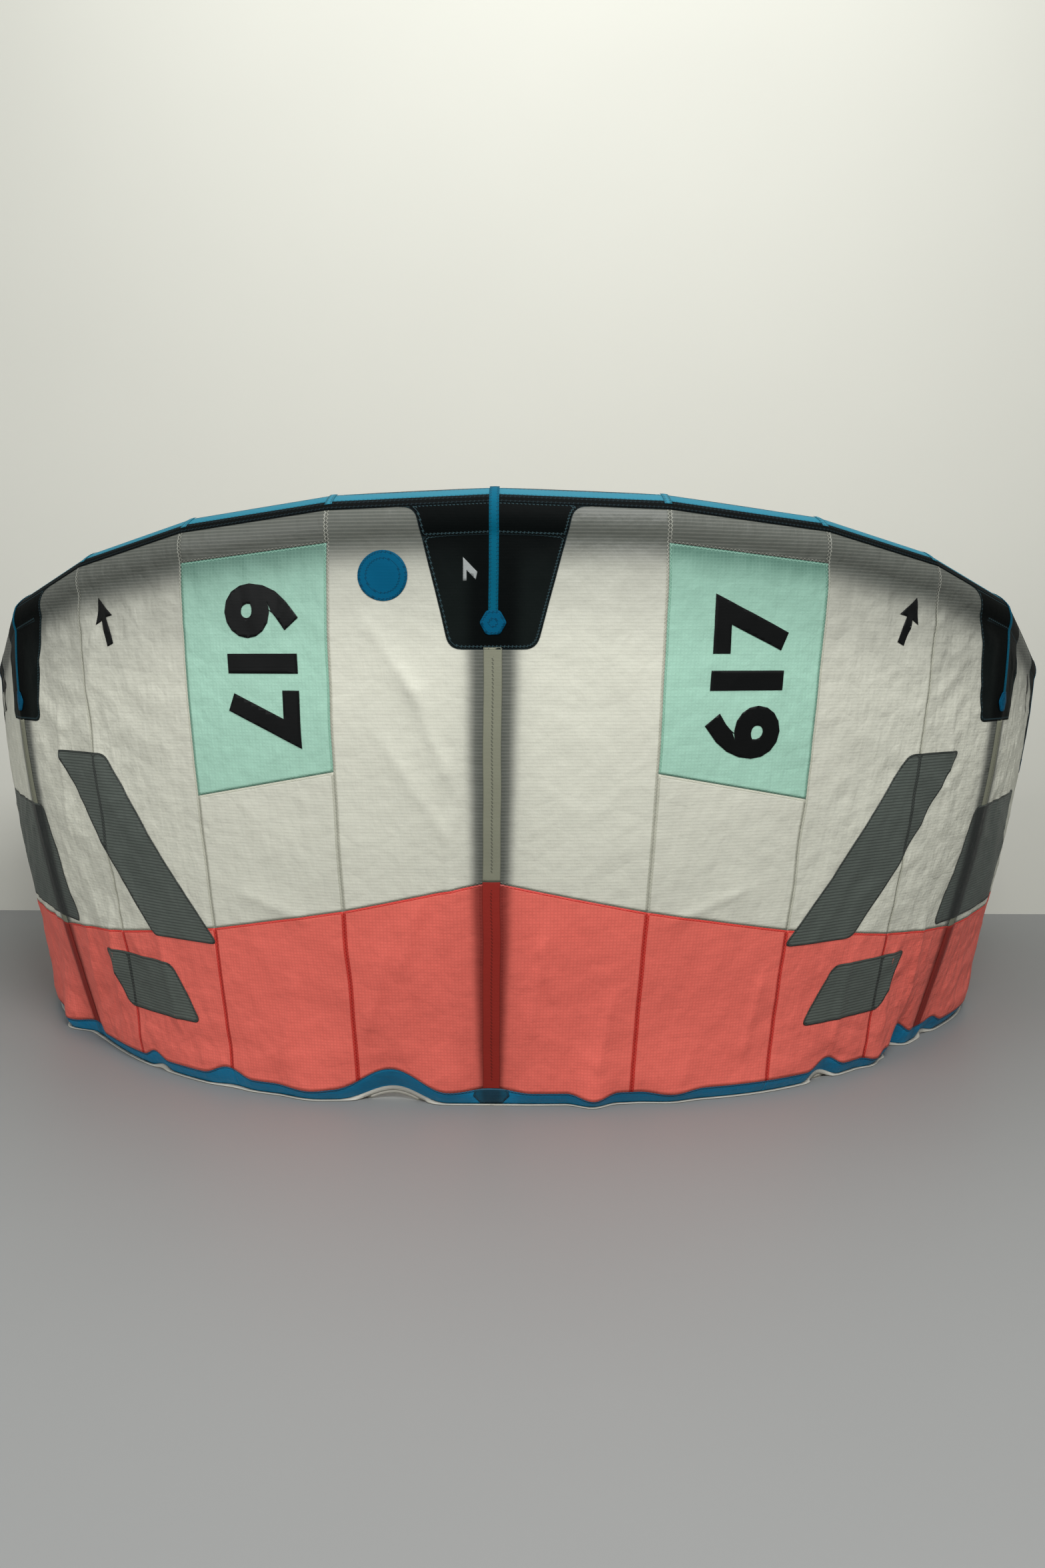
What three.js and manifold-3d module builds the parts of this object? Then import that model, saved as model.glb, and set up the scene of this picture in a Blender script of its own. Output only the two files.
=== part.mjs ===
// A seven-square-metre inflatable traction kite, standing on its trailing edge with its wings swept back.
// Millimetres, +Z up, +X to the kite's right wing, -Y towards the convex (upper) face of the canopy.
// The origin is on the floor, under the middle of the kite's bounding box.
import * as THREE from 'three';
import { mergeVertices } from 'three/addons/utils/BufferGeometryUtils.js';
import Module from 'manifold-3d';

const wasm = await Module();
wasm.setup();

// ---------------------------------------------------------------- driving sizes

// One row for each seam or strut of the right half wing; the left half mirrors it.
//   edge     trailing edge on the floor: across, and back from its middle
//   tube     middle of the leading-edge tube: across, back and up
//   radius   of that tube
//   bulge    how far the canopy bows out of the straight line between its two edges
//   colour   height of the seam between the lower and the upper cloth
const stations = [
  { name: 'centre',  edge: [0, 0],       tube: [0, -155, 1288],    radius: 70, bulge: 48, colour: 537 },
  { name: 'first',   edge: [306, 17],    tube: [333, -127, 1277],  radius: 70, bulge: 46, colour: 465 },
  { name: 'second',  edge: [615, 95],    tube: [660, -8, 1245],    radius: 69, bulge: 26, colour: 400 },
  { name: 'third',   edge: [876, 268],   tube: [944, 182, 1188],   radius: 68, bulge: 28, colour: 352 },
  { name: 'quarter', edge: [1078, 493],  tube: [1197, 432, 1106],  radius: 66, bulge: 46, colour: 322 },
  { name: 'bay',     edge: [1290, 775],  tube: [1342, 709, 1039],  radius: 62, bulge: 36, colour: 330 },
  { name: 'outer',   edge: [1364, 1070], tube: [1487, 986, 972],   radius: 58, bulge: 34, colour: 350 },
  { name: 'wing',    edge: [1388, 1440], tube: [1590, 1442, 800],  radius: 48, bulge: 24, colour: 300 },
  { name: 'tip',     edge: [1366, 1800], tube: [1580, 1990, 470],  radius: 36, bulge: 10, colour: 200 },
];
// The soft kite stands askew.
const lean = 0.014;           // sideways shift of the tube, as a share of its height
const sway = 13;              // shift of the kite's middle to the left
const swayBays = 2;           // bays over which that fades out

const clothThickness = 1.2;
const pieceGap = 0.3;         // between neighbouring pieces
const columnsPerBay = 5;      // columns of facets from one station to the next
const lowerSteps = 3;         // rows of facets in the lower panels, and in the upper ones below the tube
const upperSteps = 5;
const mintSteps = 4;

const tubeFacets = 16;
const facetAngle = 360 / tubeFacets;
const tubeJoin = -facetAngle; // degrees round the tube, from level, at which the canopy meets it
const seamTop = 30;           // and at which it is sewn down

const camberSkew = 0.6;       // moves the fullest part of the bulge above the middle
const camberPeak = 0.335;     // value of the unscaled camber there

const bandWidth = 42;         // folded band along the trailing edge
const bandRise = 33;          // height of its upper seam where it lies slack
const bandSlump = 20;         // how far the slack cloth bellies out over the band
const slumpHeight = 260;      // height at which the canopy no longer feels the floor
const hemWidth = 18;          // loose hem below the band

const strutFacets = 12;
const strutRadiusFront = 45;
const strutRadiusTail = 28;
const strutFloorGap = 9;
const strutClear = 0.8;       // behind the canopy, whose facets bend a little at each strut
const strutHold = 95;         // half the width of band that each strut's tail holds upright

// Heights of the mint panel's two seams nearest to the middle of the kite, and how far they fall in a bay.
const mintLow = { height: 770, fall: 65 };
const mintHigh = { height: 1242, fall: 31 };

const patchThickness = 1;
const cornerBow = 4;          // how far a patch's round corner stays inside its sharp one

// One row for each kind of patch over a strut's head: its half widths, and the heights of waist and foot.
const patches = {
  centre:  { topHalf: 190, waistHalf: 158, waist: 1265, footHalf: 102, foot: 1030, corner: 30 },
  quarter: { topHalf: 200, waistHalf: 178, waist: 1085, footHalf: 122, foot: 855,  corner: 28 },
  outer:   { topHalf: 150, waistHalf: 130, waist: 930,  footHalf: 80,  foot: 640,  corner: 24 },
};

// One row for each fold of the trailing edge.
//   at      distance along the edge (left is negative)      reach   half the fold's width
//   lift    how far it rises off the floor                  rise    of the band's seam
//   push    out from the smooth curve (inwards is negative)
const folds = [
  { at: -1362, reach: 95,  lift: 0,  rise: -4,  push: 34 },
  { at: -872,  reach: 50,  lift: 10, rise: 8,   push: 0 },
  { at: -627,  reach: 75,  lift: 3,  rise: 20,  push: -6 },
  { at: -417,  reach: 90,  lift: 0,  rise: -8,  push: 14 },
  { at: -227,  reach: 130, lift: 30, rise: 22,  push: -26 },
  { at: 228,   reach: 60,  lift: 0,  rise: -14, push: 24 },
  { at: 408,   reach: 80,  lift: 0,  rise: -10, push: 10 },
  { at: 818,   reach: 65,  lift: 20, rise: 6,   push: -8 },
  { at: 998,   reach: 60,  lift: 0,  rise: -12, push: 12 },
  { at: 1148,  reach: 85,  lift: 12, rise: 26,  push: -46 },
  { at: 1323,  reach: 70,  lift: 12, rise: 10,  push: -10 },
];

// ---------------------------------------------------------------- layout, as places of the station table

const sides = { left: -1, right: 1 };
const strutPlaces = { centre: 0, quarter_left: -4, quarter_right: 4, outer_left: -6, outer_right: 6 };
const tubeSpans = [[0, 1], [1, 2], [2, 3], [3, 4], [4, 6], [6, 7], [7, 8]];
const goreSpans = [[0, 1], [1, 2], [2, 3], [3, 4], [4, 6], [6, 8]];
const bandSpans = [[0, 2], [2, 4], [4, 6], [6, 8]];
const mintGore = 2;

// ---------------------------------------------------------------- shape of the wing

const lastStation = stations.length - 1;
const mix = THREE.MathUtils.lerp;
const up = new THREE.Vector3(0, 0, 1);

/** One station of either half wing; `place` runs from minus to plus the last station. */
function stationAt(place) {
  const side = place < 0 ? -1 : 1;
  const { edge, tube, radius, bulge, colour } = stations[Math.abs(place)];
  const [across, back, height] = tube;
  const shift = -sway * Math.max(1 - Math.abs(place) / swayBays, 0);
  return {
    radius, bulge, colour,
    edge: new THREE.Vector3(side * edge[0] + shift, edge[1], 0),
    tube: new THREE.Vector3(side * across + lean * height + shift, back, height),
  };
}

const wing = [];
for (let place = -lastStation; place <= lastStation; place += 1) wing.push(stationAt(place));
const wingAt = (place) => wing[place + lastStation];
const edgeCurve = new THREE.CatmullRomCurve3(wing.map((row) => row.edge));

/** Level direction, square to a line in plan, that points out of the convex side. */
function outward(direction) {
  return new THREE.Vector3(direction.y, -direction.x, 0).normalize();
}

wing.forEach((row, index) => {
  const before = wing[Math.max(index - 1, 0)];
  const after = wing[Math.min(index + 1, wing.length - 1)];
  row.out = outward(after.tube.clone().sub(before.tube));
  row.run = (index === 0) ? 0 : before.run + row.edge.distanceTo(before.edge);
});
const middleRun = wingAt(0).run;
wing.forEach((row) => { row.run -= middleRun; });
const strutRuns = Object.values(strutPlaces).map((place) => wingAt(place).run);

/** A raised cosine: 1 in the middle and 0 at `reach`. */
function hump(distance, reach) {
  return Math.abs(distance) < reach ? 0.5 + 0.5 * Math.cos((Math.PI * distance) / reach) : 0;
}

/** Everything about the trailing edge at one distance along it. */
function edgeFold(run) {
  const held = Math.max(...strutRuns.map((at) => hump(run - at, strutHold)));
  const fold = { lift: 0, top: mix(bandRise, bandWidth, held), push: 0, slump: bandSlump * (1 - held) };
  for (const { at, reach, lift, rise, push } of folds) {
    const share = hump(run - at, reach) * (1 - held);
    fold.lift += lift * share;
    fold.top += (lift + rise) * share;
    fold.push += push * share;
  }
  return fold;
}

/** The column of the wing at a place between stations, with what its points are worked out from. */
function columnAt(place) {
  const position = THREE.MathUtils.clamp(place + lastStation, 0, wing.length - 1);
  const index = Math.min(Math.floor(position), wing.length - 2);
  const part = position - index;
  const [low, high] = [wing[index], wing[index + 1]];
  const along = position / (wing.length - 1);
  const run = mix(low.run, high.run, part);
  return {
    low, high, part, run,
    edge: edgeCurve.getPoint(along),
    edgeOut: outward(edgeCurve.getTangent(along)),
    tubeOut: low.out.clone().lerp(high.out, part),
    bulge: mix(low.bulge, high.bulge, part),
    colour: mix(low.colour, high.colour, part),
    fold: edgeFold(run),
  };
}

/** A point `clear` outside the leading-edge tube, at an angle above level, in one column. */
function onTube(column, degrees, clear) {
  const angle = THREE.MathUtils.degToRad(degrees);
  const ring = (row) => row.tube.clone()
    .addScaledVector(row.out, Math.cos(angle) * (row.radius + clear))
    .addScaledVector(up, Math.sin(angle) * (row.radius + clear));
  return ring(column.low).lerp(ring(column.high), column.part);
}

/** Share of the bulge at a share of the height. */
function camber(share) {
  return (share * (1 - share) * (1 + camberSkew * share)) / camberPeak;
}

/** Level direction out of the canopy at a share of its height. */
function outAt(column, share) {
  return column.edgeOut.clone().lerp(column.tubeOut, share).normalize();
}

/** A point of the canopy, `depth` outside its inner face, at a height between the floor and the tube. */
function onCanopy(column, height, depth) {
  const join = onTube(column, tubeJoin, pieceGap);
  const share = Math.min(height / join.z, 1);
  const slack = Math.max(1 - height / slumpHeight, 0) ** 2;
  const bow = column.bulge * camber(share) + (column.fold.push + column.fold.slump) * slack;
  const point = column.edge.clone().lerp(join, share);
  return point.addScaledVector(outAt(column, share), bow + depth);
}

// ---------------------------------------------------------------- bending three.js geometry into place

/** Leaves a geometry with nothing but shared positions and their normals. */
function welded(geometry) {
  geometry.deleteAttribute('normal');
  geometry.deleteAttribute('uv');
  const clean = mergeVertices(geometry, 1e-3);
  clean.computeVertexNormals();
  return clean;
}

/** Moves each vertex of a geometry to where `where` puts it. */
function bend(geometry, where) {
  const position = geometry.attributes.position;
  const point = new THREE.Vector3();
  for (let index = 0; index < position.count; index += 1) {
    point.fromBufferAttribute(position, index);
    position.setXYZ(index, ...where(point).toArray());
  }
  return welded(geometry);
}

function toSolid(geometry) {
  return new wasm.Manifold(new wasm.Mesh({
    numProp: 3,
    vertProperties: new Float32Array(geometry.attributes.position.array),
    triVerts: new Uint32Array(geometry.index.array),
  }));
}

function fromSolid(solid) {
  const mesh = solid.getMesh();
  const geometry = new THREE.BufferGeometry();
  geometry.setAttribute('position', new THREE.BufferAttribute(new Float32Array(mesh.vertProperties), 3));
  geometry.setIndex(new THREE.BufferAttribute(new Uint32Array(mesh.triVerts), 1));
  return welded(geometry);
}

/** Turns the diagonals on a box's inner face to lie as the outer face's do, so that layers nest. */
function nested(box) {
  const corners = box.index.array;
  const inner = box.groups[5];
  for (let index = inner.start; index < inner.start + inner.count; index += 6) {
    const [a, b, d, , c] = corners.subarray(index, index + 6);
    corners.set([a, b, c, a, c, d], index);
  }
  return box;
}

/**
 * A sheet of cloth between two places of the wing. `rows` lists its cross lines from the lowest up,
 * each a function of the column and the depth within the cloth.
 */
function sheet([from, to], rows, inner = 0, outer = clothThickness) {
  const width = wingAt(to).run - wingAt(from).run;
  const seamShare = pieceGap / 2 / width;
  const [start, end] = [mix(from, to, seamShare), mix(to, from, seamShare)];
  const columns = (to - from) * columnsPerBay;
  const steps = rows.length - 1;
  const box = new THREE.BoxGeometry(1, steps, 1, columns, steps, 1);
  return bend(nested(box), ({ x, y, z }) => {
    const row = rows[Math.round(y + steps / 2)];
    return row(columnAt(mix(start, end, x + 0.5)), z > 0 ? outer : inner);
  });
}

// ---------------------------------------------------------------- cross lines of the canopy

/** Heights spaced evenly between two others; every height is a function of the column. */
function levels(low, high, count) {
  const height = (step) => (column) => mix(low(column), high(column), step / count);
  return Array.from({ length: count + 1 }, (_, step) => height(step));
}

/** Canopy rows at evenly spaced heights, half a gap clear of the seams at both ends. */
function rowsBetween(low, high, count) {
  return levels(low, high, count).map((height, step) => {
    const clear = ((step === 0) - (step === count)) * (pieceGap / 2);
    return (column, depth) => onCanopy(column, height(column) + clear, depth);
  });
}

/** Canopy rows from a height up to the tube, and then round the tube to the line where they are sewn down. */
function rowsOverTube(low, count) {
  const round = [tubeJoin, 0, facetAngle, seamTop].map(
    (degrees) => (column, depth) => onTube(column, degrees, pieceGap + depth),
  );
  return [...rowsBetween(low, tubeLevel, count).slice(0, -1), ...round];
}

const bandTop = (column) => column.fold.top;
const colourSeam = (column) => column.colour;
const tubeLevel = (column) => onTube(column, tubeJoin, pieceGap).z;

/** A seam of the mint panel, which falls towards the wing. */
function mintSeam({ height, fall }) {
  const bay = wingAt(1).run;
  return (column) => height - fall * (Math.abs(column.run) / bay - 1);
}

// ---------------------------------------------------------------- the trailing-edge band with its hem

/** End of the loose hem: level on the floor, and hanging from the fold where the fold is lifted. */
function hemEnd(column, depth) {
  const { lift, push } = column.fold;
  const drop = Math.min(lift, hemWidth);
  const tilt = drop / hemWidth;
  const reach = Math.sqrt(hemWidth ** 2 - drop ** 2);
  return column.edge.clone()
    .addScaledVector(column.edgeOut, push - reach + depth * tilt)
    .setZ(lift - drop + (clothThickness - depth) * (1 - tilt));
}

/** The fold between the loose hem and the band. */
function hemFold(column, depth) {
  const { lift, push } = column.fold;
  const tilt = Math.min(lift, hemWidth) / hemWidth;
  return column.edge.clone()
    .addScaledVector(column.edgeOut, push + depth)
    .setZ(lift + (clothThickness - depth) * (1 - tilt));
}

const bandSeam = (column, depth) => onCanopy(column, column.fold.top - pieceGap / 2, depth);

// ---------------------------------------------------------------- leading-edge tube

/** One length of the tube between the mitre planes of two stations. */
function tubeLength([from, to], clear = 0, gap = pieceGap / 2) {
  const ends = [wingAt(from), wingAt(to)];
  const along = ends[1].tube.clone().sub(ends[0].tube).normalize();
  const cylinder = new THREE.CylinderGeometry(1, 1, 1, tubeFacets, 1);
  return bend(cylinder, ({ x, y, z }) => {
    const end = ends[y > 0 ? 1 : 0];
    return end.tube.clone()
      .addScaledVector(end.out, z * (end.radius + clear))
      .addScaledVector(up, -x * (end.radius + clear))
      .addScaledVector(along, y > 0 ? -gap : gap);
  });
}

// ---------------------------------------------------------------- struts

/** A tapered strut behind the canopy at one station, cut to the saddle of the leading-edge tube. */
function strut(place) {
  const column = columnAt(place);
  const heights = [
    () => strutFloorGap,
    ...levels(bandTop, colourSeam, lowerSteps),
    ...levels(colourSeam, tubeLevel, upperSteps).slice(1),
  ];
  const steps = heights.length - 1;
  const cylinder = new THREE.CylinderGeometry(1, 1, steps, strutFacets, steps);
  const tube = bend(cylinder, ({ x, y, z }) => {
    const height = heights[Math.round(y + steps / 2)](column);
    const share = height / tubeLevel(column);
    const radius = mix(strutRadiusTail, strutRadiusFront, Math.sqrt(share));
    const out = outAt(column, share);
    return onCanopy(column, height, -strutClear - radius)
      .addScaledVector(out, z * radius)
      .addScaledVector(up.clone().cross(out), x * radius);
  });
  const bothSides = tubeSpans.flatMap(([from, to]) => [[from, to], [-to, -from]]);
  const saddle = bothSides.filter((ends) => ends.includes(place));
  const cut = saddle.reduce(
    (solid, ends) => solid.subtract(toSolid(tubeLength(ends, pieceGap, -pieceGap))),
    toSolid(tube),
  );
  return fromSolid(cut);
}

// ---------------------------------------------------------------- reinforcement patches at the struts' heads

/** Outline of a patch, narrowing downwards to a foot with round corners. */
function patchOutline({ topHalf, waistHalf, waist, footHalf, foot, corner }, top) {
  const inset = footHalf - cornerBow;
  const outline = new THREE.Shape();
  outline.moveTo(-topHalf, top);
  outline.lineTo(-waistHalf, waist);
  outline.lineTo(-footHalf, foot + corner);
  outline.quadraticCurveTo(-inset, foot, -footHalf + corner, foot);
  outline.lineTo(footHalf - corner, foot);
  outline.quadraticCurveTo(inset, foot, footHalf, foot + corner);
  outline.lineTo(waistHalf, waist);
  outline.lineTo(topHalf, top);
  return outline;
}

/** A patch laid on the canopy over one strut: a second skin, cut to the patch's outline. */
function patch(place, sizes) {
  const { tube, radius, out } = wingAt(place);
  const skinBottom = clothThickness + pieceGap;
  const rows = rowsOverTube(colourSeam, upperSteps);
  const skin = toSolid(sheet([place - 1, place + 1], rows, skinBottom, skinBottom + patchThickness));

  const reach = 900;
  const cutter = new THREE.ExtrudeGeometry(patchOutline(sizes, tube.z + radius), {
    depth: reach,
    bevelEnabled: false,
    curveSegments: 4,
  });
  const middle = onCanopy(columnAt(place), sizes.waist, 0).setZ(0);
  const frame = new THREE.Matrix4().makeBasis(up.clone().cross(out), up, out);
  frame.setPosition(middle.addScaledVector(out, -reach / 2));
  cutter.applyMatrix4(frame);
  return fromSolid(skin.intersect(toSolid(welded(cutter))));
}

// ---------------------------------------------------------------- materials

const materials = {
  dacron: new THREE.MeshStandardMaterial({ color: '#17191b', roughness: 0.7 }),
  strutCloth: new THREE.MeshStandardMaterial({ color: '#2a2c2e', roughness: 0.7 }),
  white: new THREE.MeshStandardMaterial({ color: '#d6d4c9', roughness: 0.6 }),
  mint: new THREE.MeshStandardMaterial({ color: '#9fd3c0', roughness: 0.6 }),
  coral: new THREE.MeshStandardMaterial({ color: '#dd655b', roughness: 0.6 }),
  blue: new THREE.MeshStandardMaterial({ color: '#00719a', roughness: 0.55 }),
};

// ---------------------------------------------------------------- assembly

const kite = new THREE.Group();

function add(name, geometry, material) {
  const mesh = new THREE.Mesh(geometry, materials[material]);
  mesh.name = name;
  kite.add(mesh);
}

/** The panels of one gore, from the band up to the leading edge. */
function addGore(name, ends, hasMint) {
  add(`lower_panel_${name}`, sheet(ends, rowsBetween(bandTop, colourSeam, lowerSteps)), 'coral');
  if (!hasMint) {
    add(`upper_panel_${name}`, sheet(ends, rowsOverTube(colourSeam, upperSteps)), 'white');
    return;
  }
  const [low, high] = [mintSeam(mintLow), mintSeam(mintHigh)];
  add(`upper_panel_${name}`, sheet(ends, rowsBetween(colourSeam, low, 2)), 'white');
  add(`mint_panel_${name}`, sheet(ends, rowsBetween(low, high, mintSteps)), 'mint');
  add(`header_panel_${name}`, sheet(ends, rowsOverTube(high, 1)), 'white');
}

for (const [sideName, side] of Object.entries(sides)) {
  const ends = ([from, to]) => (side > 0 ? [from, to] : [-to, -from]);
  tubeSpans.forEach((span, index) => {
    add(`leading_edge_${sideName}_${index + 1}`, tubeLength(ends(span)), 'dacron');
  });
  goreSpans.forEach((span, index) => {
    addGore(`${sideName}_${index + 1}`, ends(span), index + 1 === mintGore);
  });
  bandSpans.forEach((span, index) => {
    add(`edge_band_${sideName}_${index + 1}`, sheet(ends(span), [hemEnd, hemFold, bandSeam]), 'blue');
  });
}

for (const [name, place] of Object.entries(strutPlaces)) {
  const kind = name.split('_')[0];
  add(`strut_${name}`, strut(place), 'strutCloth');
  add(`patch_${name}`, patch(place, patches[kind]), 'dacron');
}

// The wing is laid out from the middle of its trailing edge, and moved here to the kite's own origin.
const box = new THREE.Box3().setFromObject(kite, true);
const middle = box.getCenter(new THREE.Vector3());
kite.position.set(-middle.x, -middle.y, -box.min.z);

export default kite;
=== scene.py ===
"""An inflatable traction kite that stands on its trailing edge: cloth, tubes, patches, tapes and prints.

Metres, +Z up, +X to the kite's right wing, -Y towards the convex face of the canopy. A point of the cloth is
given by its place, which counts the seams from the middle of the kite, and its level, which is its height on
the canopy and its way round the leading edge above that.
"""

from __future__ import annotations

import logging
import math
from collections.abc import Callable, Iterable, Sequence
from dataclasses import dataclass
from enum import Enum
from functools import cache, partial

import bmesh
import bpy
import numpy as np
from mathutils import Euler, Matrix, Vector, noise


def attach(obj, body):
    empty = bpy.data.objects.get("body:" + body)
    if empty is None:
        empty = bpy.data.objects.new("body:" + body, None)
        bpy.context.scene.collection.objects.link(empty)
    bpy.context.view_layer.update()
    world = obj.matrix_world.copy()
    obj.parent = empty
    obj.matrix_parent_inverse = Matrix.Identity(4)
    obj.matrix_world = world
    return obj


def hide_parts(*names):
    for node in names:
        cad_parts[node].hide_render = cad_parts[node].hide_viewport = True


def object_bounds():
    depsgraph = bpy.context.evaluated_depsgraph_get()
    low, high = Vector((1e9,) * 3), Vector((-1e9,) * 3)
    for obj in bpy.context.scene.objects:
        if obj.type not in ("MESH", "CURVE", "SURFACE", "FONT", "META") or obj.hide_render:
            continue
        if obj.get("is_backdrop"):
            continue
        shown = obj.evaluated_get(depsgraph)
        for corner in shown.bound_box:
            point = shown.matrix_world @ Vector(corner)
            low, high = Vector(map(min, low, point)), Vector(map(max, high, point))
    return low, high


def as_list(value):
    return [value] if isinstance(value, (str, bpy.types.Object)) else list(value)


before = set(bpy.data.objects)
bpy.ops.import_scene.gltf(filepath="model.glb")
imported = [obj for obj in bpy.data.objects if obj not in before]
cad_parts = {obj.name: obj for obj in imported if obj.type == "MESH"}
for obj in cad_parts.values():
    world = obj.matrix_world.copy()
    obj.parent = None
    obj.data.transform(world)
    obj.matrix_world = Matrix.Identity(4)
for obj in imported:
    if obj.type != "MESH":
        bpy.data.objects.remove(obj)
cad_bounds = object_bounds()

log = logging.getLogger("kite")
Array = np.ndarray
Point = tuple[float, float]
Spot = tuple[float, float, float]
Adder = Callable[..., bpy.types.Node]
MM = 0.001
CELL = 0.0085  # the cloth's facets, fine enough for its creases
SIDES = {"left": -1, "right": 1}
STRUTS = {"centre": 0, "quarter_left": -4, "quarter_right": 4, "outer_left": -6, "outer_right": 6}


# ---------------------------------------------------------------- the shape of the wing


@dataclass(frozen=True)
class Station:
    """One seam or strut of the right half wing, in millimetres from the middle of the trailing edge."""

    edge: Point
    tube: Spot
    radius: float
    bulge: float
    seam: float


@dataclass(frozen=True)
class Fold:
    """One fold of the trailing edge, in millimetres along it."""

    at: float
    reach: float
    lift: float
    rise: float
    push: float


@dataclass(frozen=True)
class Crease:
    """One long crease of the canopy, between two points given by run and level, in millimetres."""

    start: Point
    end: Point
    width: float
    height: float


@dataclass
class Column:
    """What the wing is worked out from at some places: every field has one row for each place."""

    place: Array
    low: Array
    part: Array
    run: Array
    edge: Array
    edge_out: Array
    tube_out: Array
    radius: Array
    bulge: Array
    seam: Array
    lift: Array
    top: Array
    push: Array
    slump: Array


def unit(rows: Array) -> Array:
    """Scales vectors to length one.

    Args:
        rows: One vector in each row.

    Returns:
        The same directions.
    """
    return rows / np.linalg.norm(rows, axis=-1, keepdims=True)


def smooth(share: Array) -> Array:
    """Eases a share from 0 to 1, and holds it there outside that range."""
    held = np.clip(share, 0, 1)
    return held * held * (3 - 2 * held)


def outward(along: Array) -> Array:
    """Level directions out of the convex face, square to directions along the wing."""
    return unit(np.stack([along[..., 1], -along[..., 0], 0 * along[..., 0]], axis=-1))


def beside(out: Array) -> Array:
    """Level directions along the wing, square to directions out of it."""
    return np.cross(np.array([0, 0, 1.0]), out)


def hump(distance: Array, reach: float) -> Array:
    """A raised cosine, 1 in the middle and 0 at its reach."""
    return np.where(np.abs(distance) < reach, 0.5 + 0.5 * np.cos(np.pi * distance / reach), 0)


def noise_at(rows: Array) -> Array:
    """Smooth noise from -1 to 1 at each row of three coordinates, the same at every run."""
    return np.array([noise.noise(row) for row in rows.reshape(-1, 3).tolist()]).reshape(rows.shape[:-1])


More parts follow.
